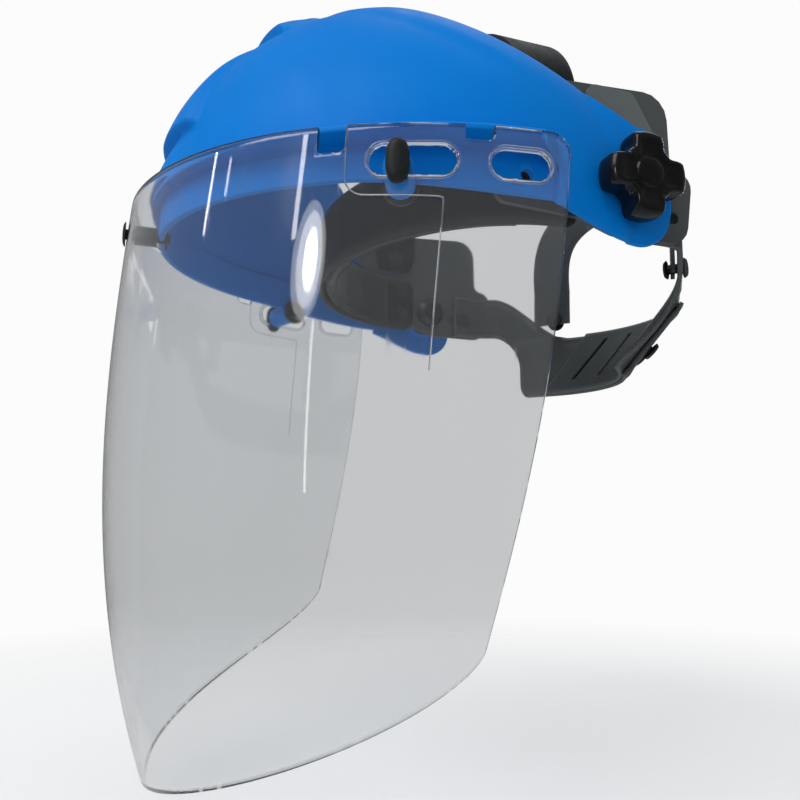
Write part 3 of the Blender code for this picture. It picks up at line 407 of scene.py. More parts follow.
class Finish:
    """A Principled material and the short ways its textures are built."""

    def __init__(self, name, specular=0.5):
        self.material = bpy.data.materials.new(name)
        self.material.use_nodes = True
        self.tree = self.material.node_tree
        self.shader = self.tree.nodes["Principled BSDF"]
        self.feed({"Specular IOR Level": specular})
        self.place = self.node("TexCoord").outputs["Object"]

    def node(self, kind, inputs=None, **settings):
        return add_node(self.tree, kind, inputs, **settings)

    def feed(self, inputs):
        feed(self.tree, self.shader, inputs)

    def noise(self, scale, detail=4.0, stretch=(1, 1, 1)):
        place = self.node("Mapping", {"Vector": self.place, "Scale": stretch}).outputs["Vector"]
        inputs = {"Vector": place, "Scale": scale, "Detail": detail, "Roughness": 0.55}
        return self.node("TexNoise", inputs).outputs["Fac"]

    def ramp(self, source, *stops):
        return colour_ramp(self.tree, source, stops)

    def spread(self, source, low, high, from_low=0.3, from_high=0.7):
        """The source's range from_low to from_high, spread over low to high."""
        inputs = {"Value": source, "From Min": from_low, "From Max": from_high, "To Min": low, "To Max": high}
        return self.node("MapRange", inputs).outputs["Result"]

    def mix(self, share, base, colour):
        inputs = {"Factor": share, "A": base, "B": (*colour, 1.0)}
        return self.node("Mix", inputs, data_type="RGBA").outputs["Result"]

    def bump(self, *layers):
        """Layers are (height, strength, distance in millimetres), each laid over the last."""
        below = {}
        for height, strength, distance in layers:
            inputs = {"Height": height, "Strength": strength, "Distance": distance * MM}
            below = {"Normal": self.node("Bump", {**inputs, **below}).outputs["Normal"]}
        self.feed(below)

    def worn_edges(self, base, low, high, strength, colour):
        """The base with its convex edges rubbed to another colour."""
        pointed = self.node("NewGeometry").outputs["Pointiness"]
        return self.mix(self.spread(pointed, 0.0, strength, low, high), base, colour)

    def math(self, operation, first, second):
        return self.node("Math", {0: first, 1: second}, operation=operation).outputs["Value"]

    def show(self, shader):
        feed(self.tree, self.tree.nodes["Material Output"], {"Surface": shader})


def crown_finish():
    """Blue moulded polypropylene: soft gloss, faint flow marks, fine scuffs."""
    made = Finish("crown_blue", specular=0.05)
    flow = made.noise(9.0, 5.0, (1.0, 0.6, 2.2))
    base = made.ramp(flow, (0.30, (0.0006, 0.168, 0.575)), (0.70, (0.0010, 0.196, 0.650)))
    dust = made.spread(made.noise(260.0, 6.0), 0.0, 0.07, 0.58, 0.80)
    base = made.mix(dust, base, (0.03, 0.26, 0.66))
    scuffs = made.noise(38.0, 8.0, (1.0, 3.0, 0.7))
    made.feed({"Base Color": made.worn_edges(base, 0.515, 0.56, 0.35, (0.04, 0.27, 0.72)),
               "Roughness": made.spread(scuffs, 0.34, 0.52),
               "Subsurface Weight": 0.06, "Subsurface Radius": (0.0006, 0.0012, 0.0030)})
    made.bump((made.noise(22.0, 2.0), 0.10, 0.6), (made.noise(420.0, 3.0), 0.10, 0.05))
    return made.material


def visor_finish(name, tint):
    """Clear polycarbonate: a faint grey tint, wiping marks and fine hairline scratches."""
    made = Finish(name)
    smears = made.noise(7.0, 5.0, (1.0, 1.0, 0.35))
    wiped = made.spread(made.noise(30.0, 7.0, (1.0, 1.0, 0.25)), 0.015, 0.075, 0.35, 0.75)
    hairs = made.spread(made.noise(340.0, 2.0, (1.0, 1.0, 0.02)), 0.0, 0.10, 0.66, 0.74)
    made.feed({"Base Color": made.ramp(smears, (0.32, tuple(c * 0.955 for c in tint)), (0.68, tint)),
               "Roughness": made.math("ADD", wiped, hairs),
               "Transmission Weight": 1.0, "IOR": 1.585})
    made.bump((made.noise(14.0, 2.0, (1.0, 1.0, 0.3)), 0.06, 0.9),
              (made.noise(240.0, 2.0, (1.0, 1.0, 0.03)), 0.04, 0.04))
    shadow = made.node("BsdfTransparent", {"Color": (*(c * 0.97 for c in tint), 1.0)})
    share = made.node("LightPath").outputs["Is Shadow Ray"]
    made.show(mix_shaders(made.tree, share, made.shader.outputs["BSDF"], shadow.outputs["BSDF"]))
    return made.material


def plastic_finish(name, dark, light, rough, grain, depth, worn=None, coat=0.0, specular=0.20):
    """Moulded plastic: mottled colour, uneven gloss, a fine moulded grain and paler rubbed edges."""
    made = Finish(name, specular)
    base = made.ramp(made.noise(24.0, 6.0), (0.32, dark), (0.68, light))
    fine = made.spread(made.noise(grain * 1.7, 4.0), 0.0, 0.22, 0.50, 0.78)
    base = made.mix(fine, base, tuple(c * 1.6 + 0.01 for c in light))
    if worn is not None:
        base = made.worn_edges(base, 0.51, 0.57, 0.55, worn)
    made.feed({"Base Color": base, "Roughness": made.spread(made.noise(46.0, 7.0, (1.0, 2.0, 0.6)), *rough),
               "Coat Weight": coat, "Coat Roughness": 0.08})
    made.bump((made.noise(grain, 3.0), 0.35, depth), (made.noise(30.0, 2.0), 0.08, 0.5))
    return made.material


def metal_finish(name, dark, light, rough):
    """Turned or plated metal with fine lines and stains."""
    made = Finish(name)
    made.feed({"Base Color": made.ramp(made.noise(120.0, 6.0), (0.35, dark), (0.65, light)),
               "Roughness": made.spread(made.noise(420.0, 4.0), rough * 0.7, rough * 1.5), "Metallic": 1.0})
    made.bump((made.noise(900.0, 2.0, (0.15, 1.0, 1.0)), 0.25, 0.02))
    return made.material


def cloth_finish():
    """Brushed knit over foam: two crossed yarn waves, fuzz and a soft sheen."""
    made = Finish("sweatband_cloth", specular=0.2)
    waves = []
    for direction, scale in (("Z", 520.0), ("DIAGONAL", 430.0)):
        inputs = {"Vector": made.place, "Scale": scale, "Distortion": 1.2, "Detail": 2.0}
        waves.append(made.node("TexWave", inputs, bands_direction=direction).outputs["Fac"])
    yarn = made.math("MULTIPLY", *waves)
    fuzz = made.noise(1400.0, 5.0)
    base = made.ramp(yarn, (0.10, (0.003, 0.003, 0.004)), (0.85, (0.018, 0.019, 0.021)))
    base = made.mix(made.spread(fuzz, 0.0, 0.35, 0.5, 0.8), base, (0.036, 0.037, 0.042))
    base = made.mix(made.spread(made.noise(18.0, 4.0), 0.0, 0.4), base, (0.009, 0.010, 0.012))
    made.feed({"Base Color": base, "Roughness": made.spread(fuzz, 0.84, 0.98),
               "Sheen Weight": 0.25, "Sheen Roughness": 0.5})
    made.bump((yarn, 0.6, 0.18), (fuzz, 0.35, 0.08))
    return made.material


FINISHES = {
    "crown": crown_finish(),
    "visor": visor_finish("visor_clear", (0.905, 0.915, 0.920)),
    "visor_line": visor_finish("visor_edge_clear", (0.93, 0.94, 0.95)),
    "black": plastic_finish("matt_black_nylon", (0.004, 0.006, 0.006), (0.010, 0.013, 0.013), (0.36, 0.56), 420.0,
                            0.06, (0.035, 0.04, 0.04)),
    "gloss_black": plastic_finish("gloss_black_phenolic", (0.0015, 0.0015, 0.0015), (0.004, 0.004, 0.0045),
                                  (0.10, 0.22), 180.0, 0.03, (0.012, 0.012, 0.013), 0.12),
    "ring": plastic_finish("dark_grey_nylon", (0.008, 0.010, 0.011), (0.014, 0.017, 0.018), (0.46, 0.66), 360.0,
                           0.05, (0.06, 0.065, 0.065), specular=0.09),
    "strap": plastic_finish("grey_nylon", (0.040, 0.045, 0.046), (0.062, 0.069, 0.070), (0.36, 0.54), 340.0, 0.05,
                            (0.12, 0.13, 0.13)),
    "plate": plastic_finish("side_plate_grey", (0.024, 0.029, 0.031), (0.040, 0.046, 0.049), (0.34, 0.52), 320.0,
                            0.05, (0.11, 0.12, 0.12)),
    "bracket": plastic_finish("bracket_grey", (0.052, 0.060, 0.063), (0.076, 0.086, 0.090), (0.36, 0.54), 320.0,
                              0.05, (0.17, 0.19, 0.19)),
    "steel": metal_finish("zinc_plated_steel", (0.46, 0.46, 0.45), (0.66, 0.66, 0.65), 0.28),
    "brass": metal_finish("turned_brass", (0.58, 0.40, 0.16), (0.78, 0.58, 0.26), 0.24),
    "cloth": cloth_finish(),
    "thread": plastic_finish("black_thread", (0.020, 0.020, 0.022), (0.045, 0.045, 0.050), (0.70, 0.90), 900.0, 0.10),
    "dark_steel": metal_finish("blackened_steel", (0.030, 0.030, 0.030), (0.065, 0.065, 0.064), 0.34),
}


# ---------------------------------------------------------------- visor


def visor_point(turn, down, inset=0.0):
    """Point on the visor: turn in radians from straight ahead, down from 0 at the top edge to 1."""
    linear, square, cube = VISOR_BARREL
    bulge = linear * down + square * down ** 2 + cube * down ** 3
    half_width = VISOR_HALF_WIDTH + 0.275 * bulge - VISOR_TAPER * down - inset
    depth = VISOR_DEPTH + bulge - inset
    return (half_width * math.sin(turn), VISOR_CENTRE_Y - depth * math.cos(turn),
            VISOR_TOP_Z - VISOR_HEIGHT * down)


def visor_side_angle(down):
    return VISOR_SIDE_ANGLE - 0.040 * down - 0.286 * down ** 2


def visor_down(z):
    return (VISOR_TOP_Z - z) / VISOR_HEIGHT


def visor_radial(turn):
    x = math.sin(turn) / VISOR_HALF_WIDTH
    y = -math.cos(turn) / VISOR_DEPTH
    return Vector((x, y, 0.0)).normalized()


def edge_speed(turn):
    """Millimetres along the visor's top edge for each radian of turn."""
    return math.hypot(VISOR_HALF_WIDTH * math.cos(turn), VISOR_DEPTH * math.sin(turn))


def slot_outline(first, last, height, grow=0.0, steps=14):
    """Outline of a round-ended slot as (turn, z) pairs."""
    radius = height / 2.0 + grow
    middle = (first + last) / 2.0
    speed = edge_speed(middle)
    half = (last - first) / 2.0 - height / 2.0 / speed
    outline = []
    for side in (1.0, -1.0):
        for k in range(steps + 1):
            angle = math.pi * (k / steps - 0.5)
            outline.append((middle + side * (half + radius * math.cos(angle) / speed),
                            SLOT_Z + side * radius * math.sin(angle)))
    return outline


def cutter_through_visor(outline, side):
    """A tool with this (turn, z) outline, from inside the visor's wall to outside it."""
    ends = [[visor_point(side * turn, visor_down(z), inset) for turn, z in outline] for inset in (6.0, -6.0)]
    return prism(*ends)


def notch_outline(first, last, depth):
    """Outline of a notch in the visor's top edge as (turn, z) pairs, its lower corners rounded."""
    middle = (first + last) / 2.0
    speed = edge_speed(middle)
    half = (last - first) / 2.0 * speed
    corners = ((-half, 6.0), (-half, -depth), (half, -depth), (half, 6.0))
    outline = [corners[0]]
    for around in zip(corners, corners[1:], corners[2:]):
        outline += rounded(*around, NOTCH_CORNER_RADIUS, 6, 1.0)
    outline.append(corners[3])
    return [(middle + u / speed, VISOR_TOP_Z + v) for u, v in outline]


def build_visor():
    columns, rows = 241, 101
    outer = np.zeros((rows, columns, 3))
    inner = np.zeros((rows, columns, 3))
    for j in range(columns):
        swing = math.pi * (j / (columns - 1) - 0.5)
        share = signed_power(math.sin(swing), 2.0 / VISOR_CORNER_POWER)
        corner = abs(math.cos(swing)) ** (2.0 / VISOR_CORNER_POWER)
        lowest = VISOR_STRAIGHT + (1.0 - VISOR_STRAIGHT) * corner
        from_side = (1.0 - abs(share)) * VISOR_SIDE_ANGLE * VISOR_DEPTH
        reach = max(0.0, VISOR_TOP_CORNER - from_side)
        highest = (VISOR_TOP_CORNER - math.sqrt(VISOR_TOP_CORNER ** 2 - reach ** 2)) / VISOR_HEIGHT
        for i in range(rows):
            down = highest + (lowest - highest) * i / (rows - 1)
            turn = share * visor_side_angle(down)
            outer[i, j] = visor_point(turn, down)
            inner[i, j] = visor_point(turn, down, VISOR_THICKNESS)
    points = np.concatenate([outer.reshape(-1, 3), inner.reshape(-1, 3)]).tolist()
    visor = mesh_object("visor_sheet", points, sheet_faces(rows, columns), FINISHES["visor"])
    tools = []
    for side in (1.0, -1.0):
        tools += [cutter_through_visor(slot_outline(*slot), side) for slot in (LOCK_SLOT, LOOSE_SLOT)]
        tools += [cutter_through_visor(notch_outline(*notch), side) for notch in (NOTCH_FRONT, NOTCH_REAR)]
    tools.append(rod(visor_point(0.0, visor_down(STUD_Z)), (0, 1, 0), 12.0, 2.6))
    cut_and_soften(visor, tools, 0.35, 30.0)
    place_on(visor, "shield", "visor_plastic", "visor")


def build_visor_lines():
    """Raised rims round the slots and the fine step moulded into the visor's outer face."""
    line = FINISHES["visor_line"]
    made = []
    for side, label in SIDES:
        for name, slot in (("lock", LOCK_SLOT), ("loose", LOOSE_SLOT)):
            path = [visor_point(side * turn, visor_down(z), -0.15) for turn, z in slot_outline(*slot, 0.8)]
            made.append(tube(f"visor_{name}_slot_rim_{label}", path, 0.55, line, True, 10))
        spots = [(0.995, VISOR_TOP_Z - 1.0), (0.995, -2.0), (0.996, -6.5)]
        for k in range(1, 9):
            angle = math.pi / 2 * k / 8
            spots.append((0.996 + 0.050 * (1 - math.cos(angle)), -6.5 - 7.2 * math.sin(angle)))
        spots += [(1.10, -13.9), (1.16, -14.0), (1.215, -14.1), (1.2255, -14.6), (1.2262, -16.0)]
        spots += [(1.2262 - 0.018 * k / 10.0, -16.0 - 54.0 * k / 10.0) for k in range(1, 11)]
        path = []
        for (turn_a, z_a), (turn_b, z_b) in zip(spots, spots[1:]):
            for t in (0.0, 0.25, 0.5, 0.75):
                path.append(visor_point(side * (turn_a + (turn_b - turn_a) * t),
                                        visor_down(z_a + (z_b - z_a) * t), 0.05))
        made.append(tube("visor_step_" + label, path, 0.26, line))
    for piece in made:
        place_on(piece, "shield", "visor_plastic")


# ---------------------------------------------------------------- crown guard


def dome_radius(elevation):
    """Distance from the tilt axis to the dome on the centre line, elevation in radians."""
    rise = math.degrees(elevation)
    return 153.5 - 0.0150 * max(0.0, rise - 9.0) ** 2 + 0.016 * max(0.0, rise - 60.0) ** 2


def dome_flat(from_axis):
    return DOME_HALF_WIDTH - (DOME_HALF_WIDTH - ARM_HALF_WIDTH) * math.exp(-(from_axis / 38.0) ** 2)


def dome_x(y, z):
    """Half width of the dome at a place seen from the side."""
    from_axis = math.hypot(y, z)
    elevation = math.atan2(z, -y)
    if elevation < 0.0 or elevation > math.radians(70.0):
        elevation = 0.0 if elevation < 0.0 and y < 0.0 else math.radians(70.0)
    reach = dome_radius(elevation)
    return dome_flat(from_axis) * math.sqrt(max(0.0, 1.0 - (from_axis / reach) ** 2 * 0.999))


def on_dome(point):
    """Push a point away from the middle of the head until it lies on the dome."""
    heading = np.array(point) - DOME_MIDDLE
    low, high = 0.2, 2.5
    for _ in range(32):
        scale = (low + high) / 2.0
        place = DOME_MIDDLE + heading * scale
        from_axis = math.hypot(place[1], place[2])
        elevation = min(max(math.atan2(place[2], -place[1]), 0.0), math.radians(70.0))
        value = (place[0] / dome_flat(from_axis)) ** 2 + (from_axis / dome_radius(elevation)) ** 2
        if value > 1.0:
            high = scale
        else:
            low = scale
    return DOME_MIDDLE + heading * low


def crest_lift(place):
    """Three overlapping scallops down the middle of the forehead, each steep at its lower end."""
    rise = math.degrees(math.atan2(place[2], -place[1]))
    lift = 0.0
    for low, high in zip(CREST_STEPS, CREST_STEPS[1:]):
        share = (rise - low) / (high - low)
        if 0.0 <= share <= 1.0:
            width = CREST_HALF_WIDTH * (1.06 - 0.42 * share)
            side = 1.0 - smoothstep(abs(place[0]), width - 5.5, width)
            start = smoothstep(share, 0.0, 0.07)
            lift = CREST_HEIGHT * side * start * (1.0 - share ** 2.2) * (1.0 - 0.15 * abs(place[0]) / width)
    return lift


def rear_edge():
    """The crown's upper rear edge from its top centre down to the end of the arm."""
    points = []
    for k in range(481):
        share = k / 480.0
        y = -88.0 + (ARM_END_Y + 88.0) * share ** 1.6
        z = 26.5 + 0.60 * max(0.0, 6.0 - y) + 0.00365 * max(0.0, -y - 25.0) ** 2
        rounding = max(0.0, y - (ARM_END_Y - 10.0))
        z -= 10.0 - math.sqrt(max(0.0, 100.0 - min(rounding, 10.0) ** 2)) if rounding > 0 else 0.0
        points.append((dome_x(y, z), y, z))
    points[0] = (0.0, points[0][1], points[0][2])
    return np.array(points)


def at_fraction(points, fraction):
    steps = np.linalg.norm(np.diff(points, axis=0), axis=1)
    run = np.concatenate([[0.0], np.cumsum(steps)]) / steps.sum()
    return np.array([np.interp(fraction, run, points[:, c]) for c in range(3)])


def arm_bottom_z(y):
    """Lower edge of the arm, round under the pivot."""
    sag = -6.0 - 12.0 * smoothstep(y, -38.0, 6.0)
    rounding = max(0.0, y - (ARM_END_Y - 13.0))
    return sag + 13.0 - math.sqrt(max(0.0, 169.0 - min(rounding, 13.0) ** 2))


def crown_section(share, edge, dome_rows):
    """Closed cross-section of the crown at a share of the way from the front to the arm's end."""
    on_band = share <= BAND_SHARE
    if on_band:
        angle = BAND_END_ANGLE * share / BAND_SHARE
        sine, cosine = math.sin(angle), math.cos(angle)
        x, y = BAND_HALF_WIDTH * sine, BAND_CENTRE_Y - BAND_DEPTH * cosine
        bottom = -2.7 - 4.2 * smoothstep(angle, math.radians(52), math.radians(84)) + 1.0 * sine ** 2
        into_step = min(STEP_RADIUS, max(0.0, y - (ARM_START_Y - STEP_RADIUS)))
        shelf = SHELF_Z - STEP_RADIUS + math.sqrt(STEP_RADIUS ** 2 - into_step ** 2)
        rim_depth = -RIM_FRONT_Y + VISOR_CENTRE_Y
        rim_x, rim_y = RIM_HALF_WIDTH * sine, VISOR_CENTRE_Y - rim_depth * cosine
        base = on_dome((rim_x, rim_y + 4.0, RIM_TOP_Z))
        base[2] = RIM_TOP_Z + 0.4
        corners = [(x, y, bottom), (x, y, shelf), (rim_x, rim_y, shelf), (rim_x, rim_y, RIM_TOP_Z - 0.6), base]
        inner_x = x * (1.0 - WALL / BAND_HALF_WIDTH)
        inner_y = BAND_CENTRE_Y - (BAND_DEPTH - WALL) * cosine
        inner_low = [(inner_x, inner_y, bottom), (inner_x, inner_y, RIM_TOP_Z + 0.2)]
    else:
        run = (share - BAND_SHARE) / (1.0 - BAND_SHARE)
        y = ARM_START_Y + 0.2 + (ARM_END_Y - ARM_START_Y - 0.2) * run
        bottom = arm_bottom_z(y)
        levels = [bottom + (RIM_TOP_Z - bottom) * s for s in (0.0, 0.42, 0.62, 0.8, 1.0)]
        corners = [(dome_x(y, z), y, z) for z in levels]
        inner_low = [(corners[0][0] - WALL, y, bottom),
                     (dome_x(y, RIM_TOP_Z * 0.7) - WALL, y, RIM_TOP_Z * 0.7)]
        base = np.array(corners[4])
    top = at_fraction(edge, share)
    dome = [base]
    for k in range(1, dome_rows + 1):
        place = base + (top - base) * k / dome_rows
        if on_band:
            place = on_dome(place)
        else:
            place[0] = dome_x(place[1], place[2])
        dome.append(place)
    outward = [(p - DOME_MIDDLE) / np.linalg.norm(p - DOME_MIDDLE) if on_band else np.array((1.0, 0.0, 0.0))
               for p in dome]
    inner_dome = [p - out * (WALL + 0.2) for p, out in zip(dome, outward)]
    outer_dome = []
    for place, out in zip(dome[1:], outward[1:]):
        lift = crest_lift(place) if on_band else 0.0
        to_edge = float(np.linalg.norm(place - top))
        lift += REAR_LIP * (1.0 - smoothstep(to_edge, 7.0, 15.0)) * (1.0 - smoothstep(share, 0.55, 0.80))
        outer_dome.append(place + out * lift)
    section = rounded(inner_low[0], corners[0], corners[1], 0.8)
    for around, radius in zip(zip(corners, corners[1:], corners[2:]), (0.9, 0.7, 0.9)):
        section += rounded(*around, radius)
    section.append(np.array(corners[4]))
    section += outer_dome[:-1]
    section += rounded(outer_dome[-2], outer_dome[-1], inner_dome[-1], 1.1)
    section += rounded(outer_dome[-1], inner_dome[-1], inner_dome[-2], 1.1)
    section += inner_dome[-2::-1]
    section.append(np.array(inner_low[1]))
    section += rounded(inner_low[1], inner_low[0], corners[0], 0.8)
    return section


def arm_end_rings(end):
    """Smaller rings behind the last section, which round the arm's end."""
    centre = sum(end) / len(end)
    rings = []
    for k in range(1, 5):
        angle = math.pi / 2.0 * k / 4.0
        shrink = (1.0 - math.cos(angle)) * np.array((0.85, 0.0, 0.06))
        rings.append([p + (centre - p) * shrink + np.array((0.0, 0.9 * math.sin(angle), 0.0)) for p in end])
    return rings


def lock_place(side):
    """Centre of a twist lock on the visor's outer face, and the outward direction there."""
    anchor = Vector(visor_point(side * LOCK_ANGLE, visor_down(LOCK_Z)))
    outward = visor_radial(LOCK_ANGLE)
    outward.x *= side
    return anchor, outward


def build_crown():
    edge = rear_edge()
    shares = [BAND_SHARE * k / 150.0 for k in range(147)]
    shares += [BAND_SHARE * (146.0 + k / 3.0) / 150.0 for k in range(1, 13)]
    arm_start = BAND_SHARE + 1e-5
    shares += [arm_start + (1.0 - arm_start) * math.sin(math.pi / 2.0 * k / 40.0) for k in range(41)]
    sections = [crown_section(share, edge, 90) for share in shares]
    sections += arm_end_rings(sections[-1])
    mirrored = [[p * np.array((-1.0, 1.0, 1.0)) for p in section] for section in sections[:0:-1]]
    whole = mirrored + sections
    points = [p for section in whole for p in section]
    crown = mesh_object("crown_shell", points, loft_faces(len(whole), len(whole[0])), FINISHES["crown"])
    joins, holes = [], []
    pivot_length = ARM_BOSS_OUTER_X - ARM_BOSS_X
    lock_start = VISOR_THICKNESS + GAP
    lock_length = LOCK_BAND_DEPTH + WALL / 2.0 - lock_start
    for side in (1.0, -1.0):
        pivot = Vector((side * (ARM_BOSS_X + pivot_length / 2.0), PIVOT_Y, PIVOT_Z))
        joins.append(rod(pivot, (1, 0, 0), pivot_length, 11.0))
        holes.append(rod((side * 101.0, PIVOT_Y, PIVOT_Z), (1, 0, 0), 20.0, BOLT_HOLE_RADIUS))
        anchor, outward = lock_place(side)
        joins.append(rod(anchor - outward * (lock_start + lock_length / 2.0), outward, lock_length, 5.0))
        holes.append(rod(anchor - outward * 9.0, outward, 30.0, 3.4))
        holes.append(rod((side * 100.0, -38.0, 1.7), (1, 0, 0), 12.0, 2.2))
    holes.append(rod((0.0, BAND_CENTRE_Y - BAND_DEPTH, STUD_Z), (0, 1, 0), 40.0, 2.4))
    boolean(crown, joins, "UNION", "MANIFOLD")
    boolean(crown, holes, "DIFFERENCE", "MANIFOLD")
    place_on(crown, "shield", "crown_plastic", "crown_guard")


# ---------------------------------------------------------------- fasteners


def build_twist_lock(label, side):
    """Oval handle with soft shoulders outside the visor and its stem; the snap foot is not built here."""
    anchor, outward = lock_place(side)
    along = Vector((0, 0, 1)).cross(outward)
    stem_end = -(LOCK_BAND_DEPTH + WALL + 2.4)
    rings = (((4.4, 1.0), 4.75), ((5.6, 2.0), 4.6), ((6.4, 2.9), 4.2), ((6.9, 3.5), 3.5), ((7.2, 3.8), 2.4),
             ((7.2, 3.8), 1.2), ((7.0, 3.6), 0.75), ((6.7, 3.3), 0.6), ((3.0, 3.0), 0.5), ((3.0, 3.0), stem_end))
    steps = 56
    points = []
    for (half_length, half_width), reach in rings:
        power = 0.78 if half_length != half_width else 1.0
        for k in range(steps):
            turn = 2.0 * math.pi * k / steps
            u = half_width * signed_power(math.cos(turn), power)
            v = half_length * signed_power(math.sin(turn), power)
            points.append(anchor + along * u + Vector((0, 0, v)) + outward * reach)
    made = mesh_object("twist_lock_fine_" + label, points, loft_faces(len(rings), steps), FINISHES["black"])
    place_on(made, "lock_" + label, "black_plastic", "twist_lock_" + label)


def build_knob(label, side):
    """Clamping knob with four block-shaped lobes, a dished face, a centre boss and a blind bore."""
    steps = 192
    low, high = KNOB_X
    lobed = ((low, 0.90), (low + 0.3, 0.94), (low + 0.9, 0.975), (low + 1.8, 0.99), (low + 3.4, 1.0),
             (high - 4.6, 1.0), (high - 3.2, 0.985), (high - 2.2, 0.955), (high - 1.5, 0.915), (high - 1.1, 0.86),
             (high - 1.0, 0.78), (high - 1.5, 0.70))
    boss = ((high - 2.1, 6.6), (high - 2.0, 6.0), (high - 1.2, 5.4), (high - 0.7, 4.7), (high - 0.3, 3.6),
            (high - 0.08, 2.3), (high, 1.0))
    bore = ((low + 8.2, 5.3), (low, 5.3))
    turns = [2.0 * math.pi * k / steps for k in range(steps)]
    blocks = [smoothstep(0.5 + 0.5 * math.cos(4.0 * turn), 0.04, 0.66) for turn in turns]
    lobes = [KNOB_VALLEY_RADIUS + (KNOB_RADIUS - KNOB_VALLEY_RADIUS) * block for block in blocks]
    rings = [(x, [radius * scale for radius in lobes]) for x, scale in lobed]
    rings += [(x, [radius] * steps) for x, radius in boss + bore]
    points = [(side * x, PIVOT_Y + radius * math.cos(turn), PIVOT_Z + radius * math.sin(turn))
              for x, radii in rings for radius, turn in zip(radii, turns)]
    outside = len(lobed) + len(boss)
    bottom, mouth = outside * steps, (outside + 1) * steps
    faces = grid_faces(outside, steps, around=True) + grid_faces(2, steps, bottom, True)
    faces.append(tuple(range(bottom - steps, bottom)))
    faces.append(tuple(range(mouth - 1, bottom - 1, -1)))
    faces += [(mouth + k, mouth + (k + 1) % steps, (k + 1) % steps, k) for k in range(steps)]
    made = mesh_object("pivot_knob_fine_" + label, points, faces, FINISHES["gloss_black"], 50.0)
    place_on(made, "knob_" + label, "gloss_black_plastic", "pivot_knob_" + label)


def build_centre_stud():
    """Domed push stud in the middle of the visor, its spacing collar and its shank."""
    front = visor_point(0.0, visor_down(STUD_Z - 5.5))[1] - GAP
    collar_front = visor_point(0.0, visor_down(STUD_Z + 4.0), VISOR_THICKNESS)[1] + GAP
    collar_back = BAND_CENTRE_Y - BAND_DEPTH - GAP
    back = BAND_CENTRE_Y - BAND_DEPTH + WALL
    profile = ((front - 1.2, 0.0), (front - 1.15, 2.0), (front - 0.95, 3.6), (front - 0.6, 4.5), (front - 0.25, 4.95),
               (front, 5.0), (front, 2.1), (collar_front, 2.1), (collar_front, 3.6), (collar_front + 0.3, 3.9),
               (collar_back - 0.3, 3.9), (collar_back, 3.6), (collar_back, 2.1), (back + 2.1, 2.1),
               (back + 2.4, 1.7), (back + 2.4, 0.0))
    made = turned("centre_stud_fine", profile, (0, 0, STUD_Z), (0, 1, 0), FINISHES["black"])
    place_on(made, "shield", "black_plastic", "centre_stud")


# ---------------------------------------------------------------- head ring


def ring_point(turn, offset=0.0):
    return ((RING_HALF_WIDTH + offset) * math.sin(turn),
            RING_FRONT_CENTRE_Y - (RING_FRONT_DEPTH + offset) * math.cos(turn))


def ring_grid(turn_high, columns, z_range, rows, offset, end_radius):
    """Points of a band round the forehead with rounded ends."""
    grid = np.zeros((rows, columns, 3))
    low, high = z_range
    for j in range(columns):
        turn = turn_high * math.sin(math.pi * (j / (columns - 1) - 0.5))
        x, y = ring_point(turn, offset)
        from_end = (turn_high - abs(turn)) * RING_HALF_WIDTH
        reach = max(0.0, end_radius - from_end)
        cut = end_radius - math.sqrt(end_radius ** 2 - reach ** 2)
        for i in range(rows):
            grid[i, j] = (x, y, low + cut + (high - low - 2.0 * cut) * i / (rows - 1))
    return grid


def build_headband():
    grid = ring_grid(math.radians(92.0), 181, HEADBAND_Z, 9, 0.0, 6.0)
    band = thick_sheet("front_headband_fine", grid, BAND_WALL, FINISHES["ring"])
    cut_and_soften(band, [rod((0, y, z), (1, 0, 0), 200.0, 2.1) for y, z in RIVET_PLACES], 0.4)
    place_on(band, "headgear", "ring_plastic", "front_headband")


def swell(pad):
    """Blow the pad up a little by cloth pressure."""
    cloth = pad.modifiers.new("cloth", "CLOTH")
    cloth.settings.quality = 5
    cloth.settings.mass = 0.3
    cloth.settings.tension_stiffness = 40.0
    cloth.settings.compression_stiffness = 40.0
    cloth.settings.use_pressure = True
    cloth.settings.uniform_pressure_force = 4.0
    cloth.settings.effector_weights.gravity = 0.0
    cloth.collision_settings.use_self_collision = False
    for number in range(1, 21):
        bpy.context.scene.frame_set(number)
    apply_modifiers(pad, 180.0)
    bpy.context.scene.frame_set(1)


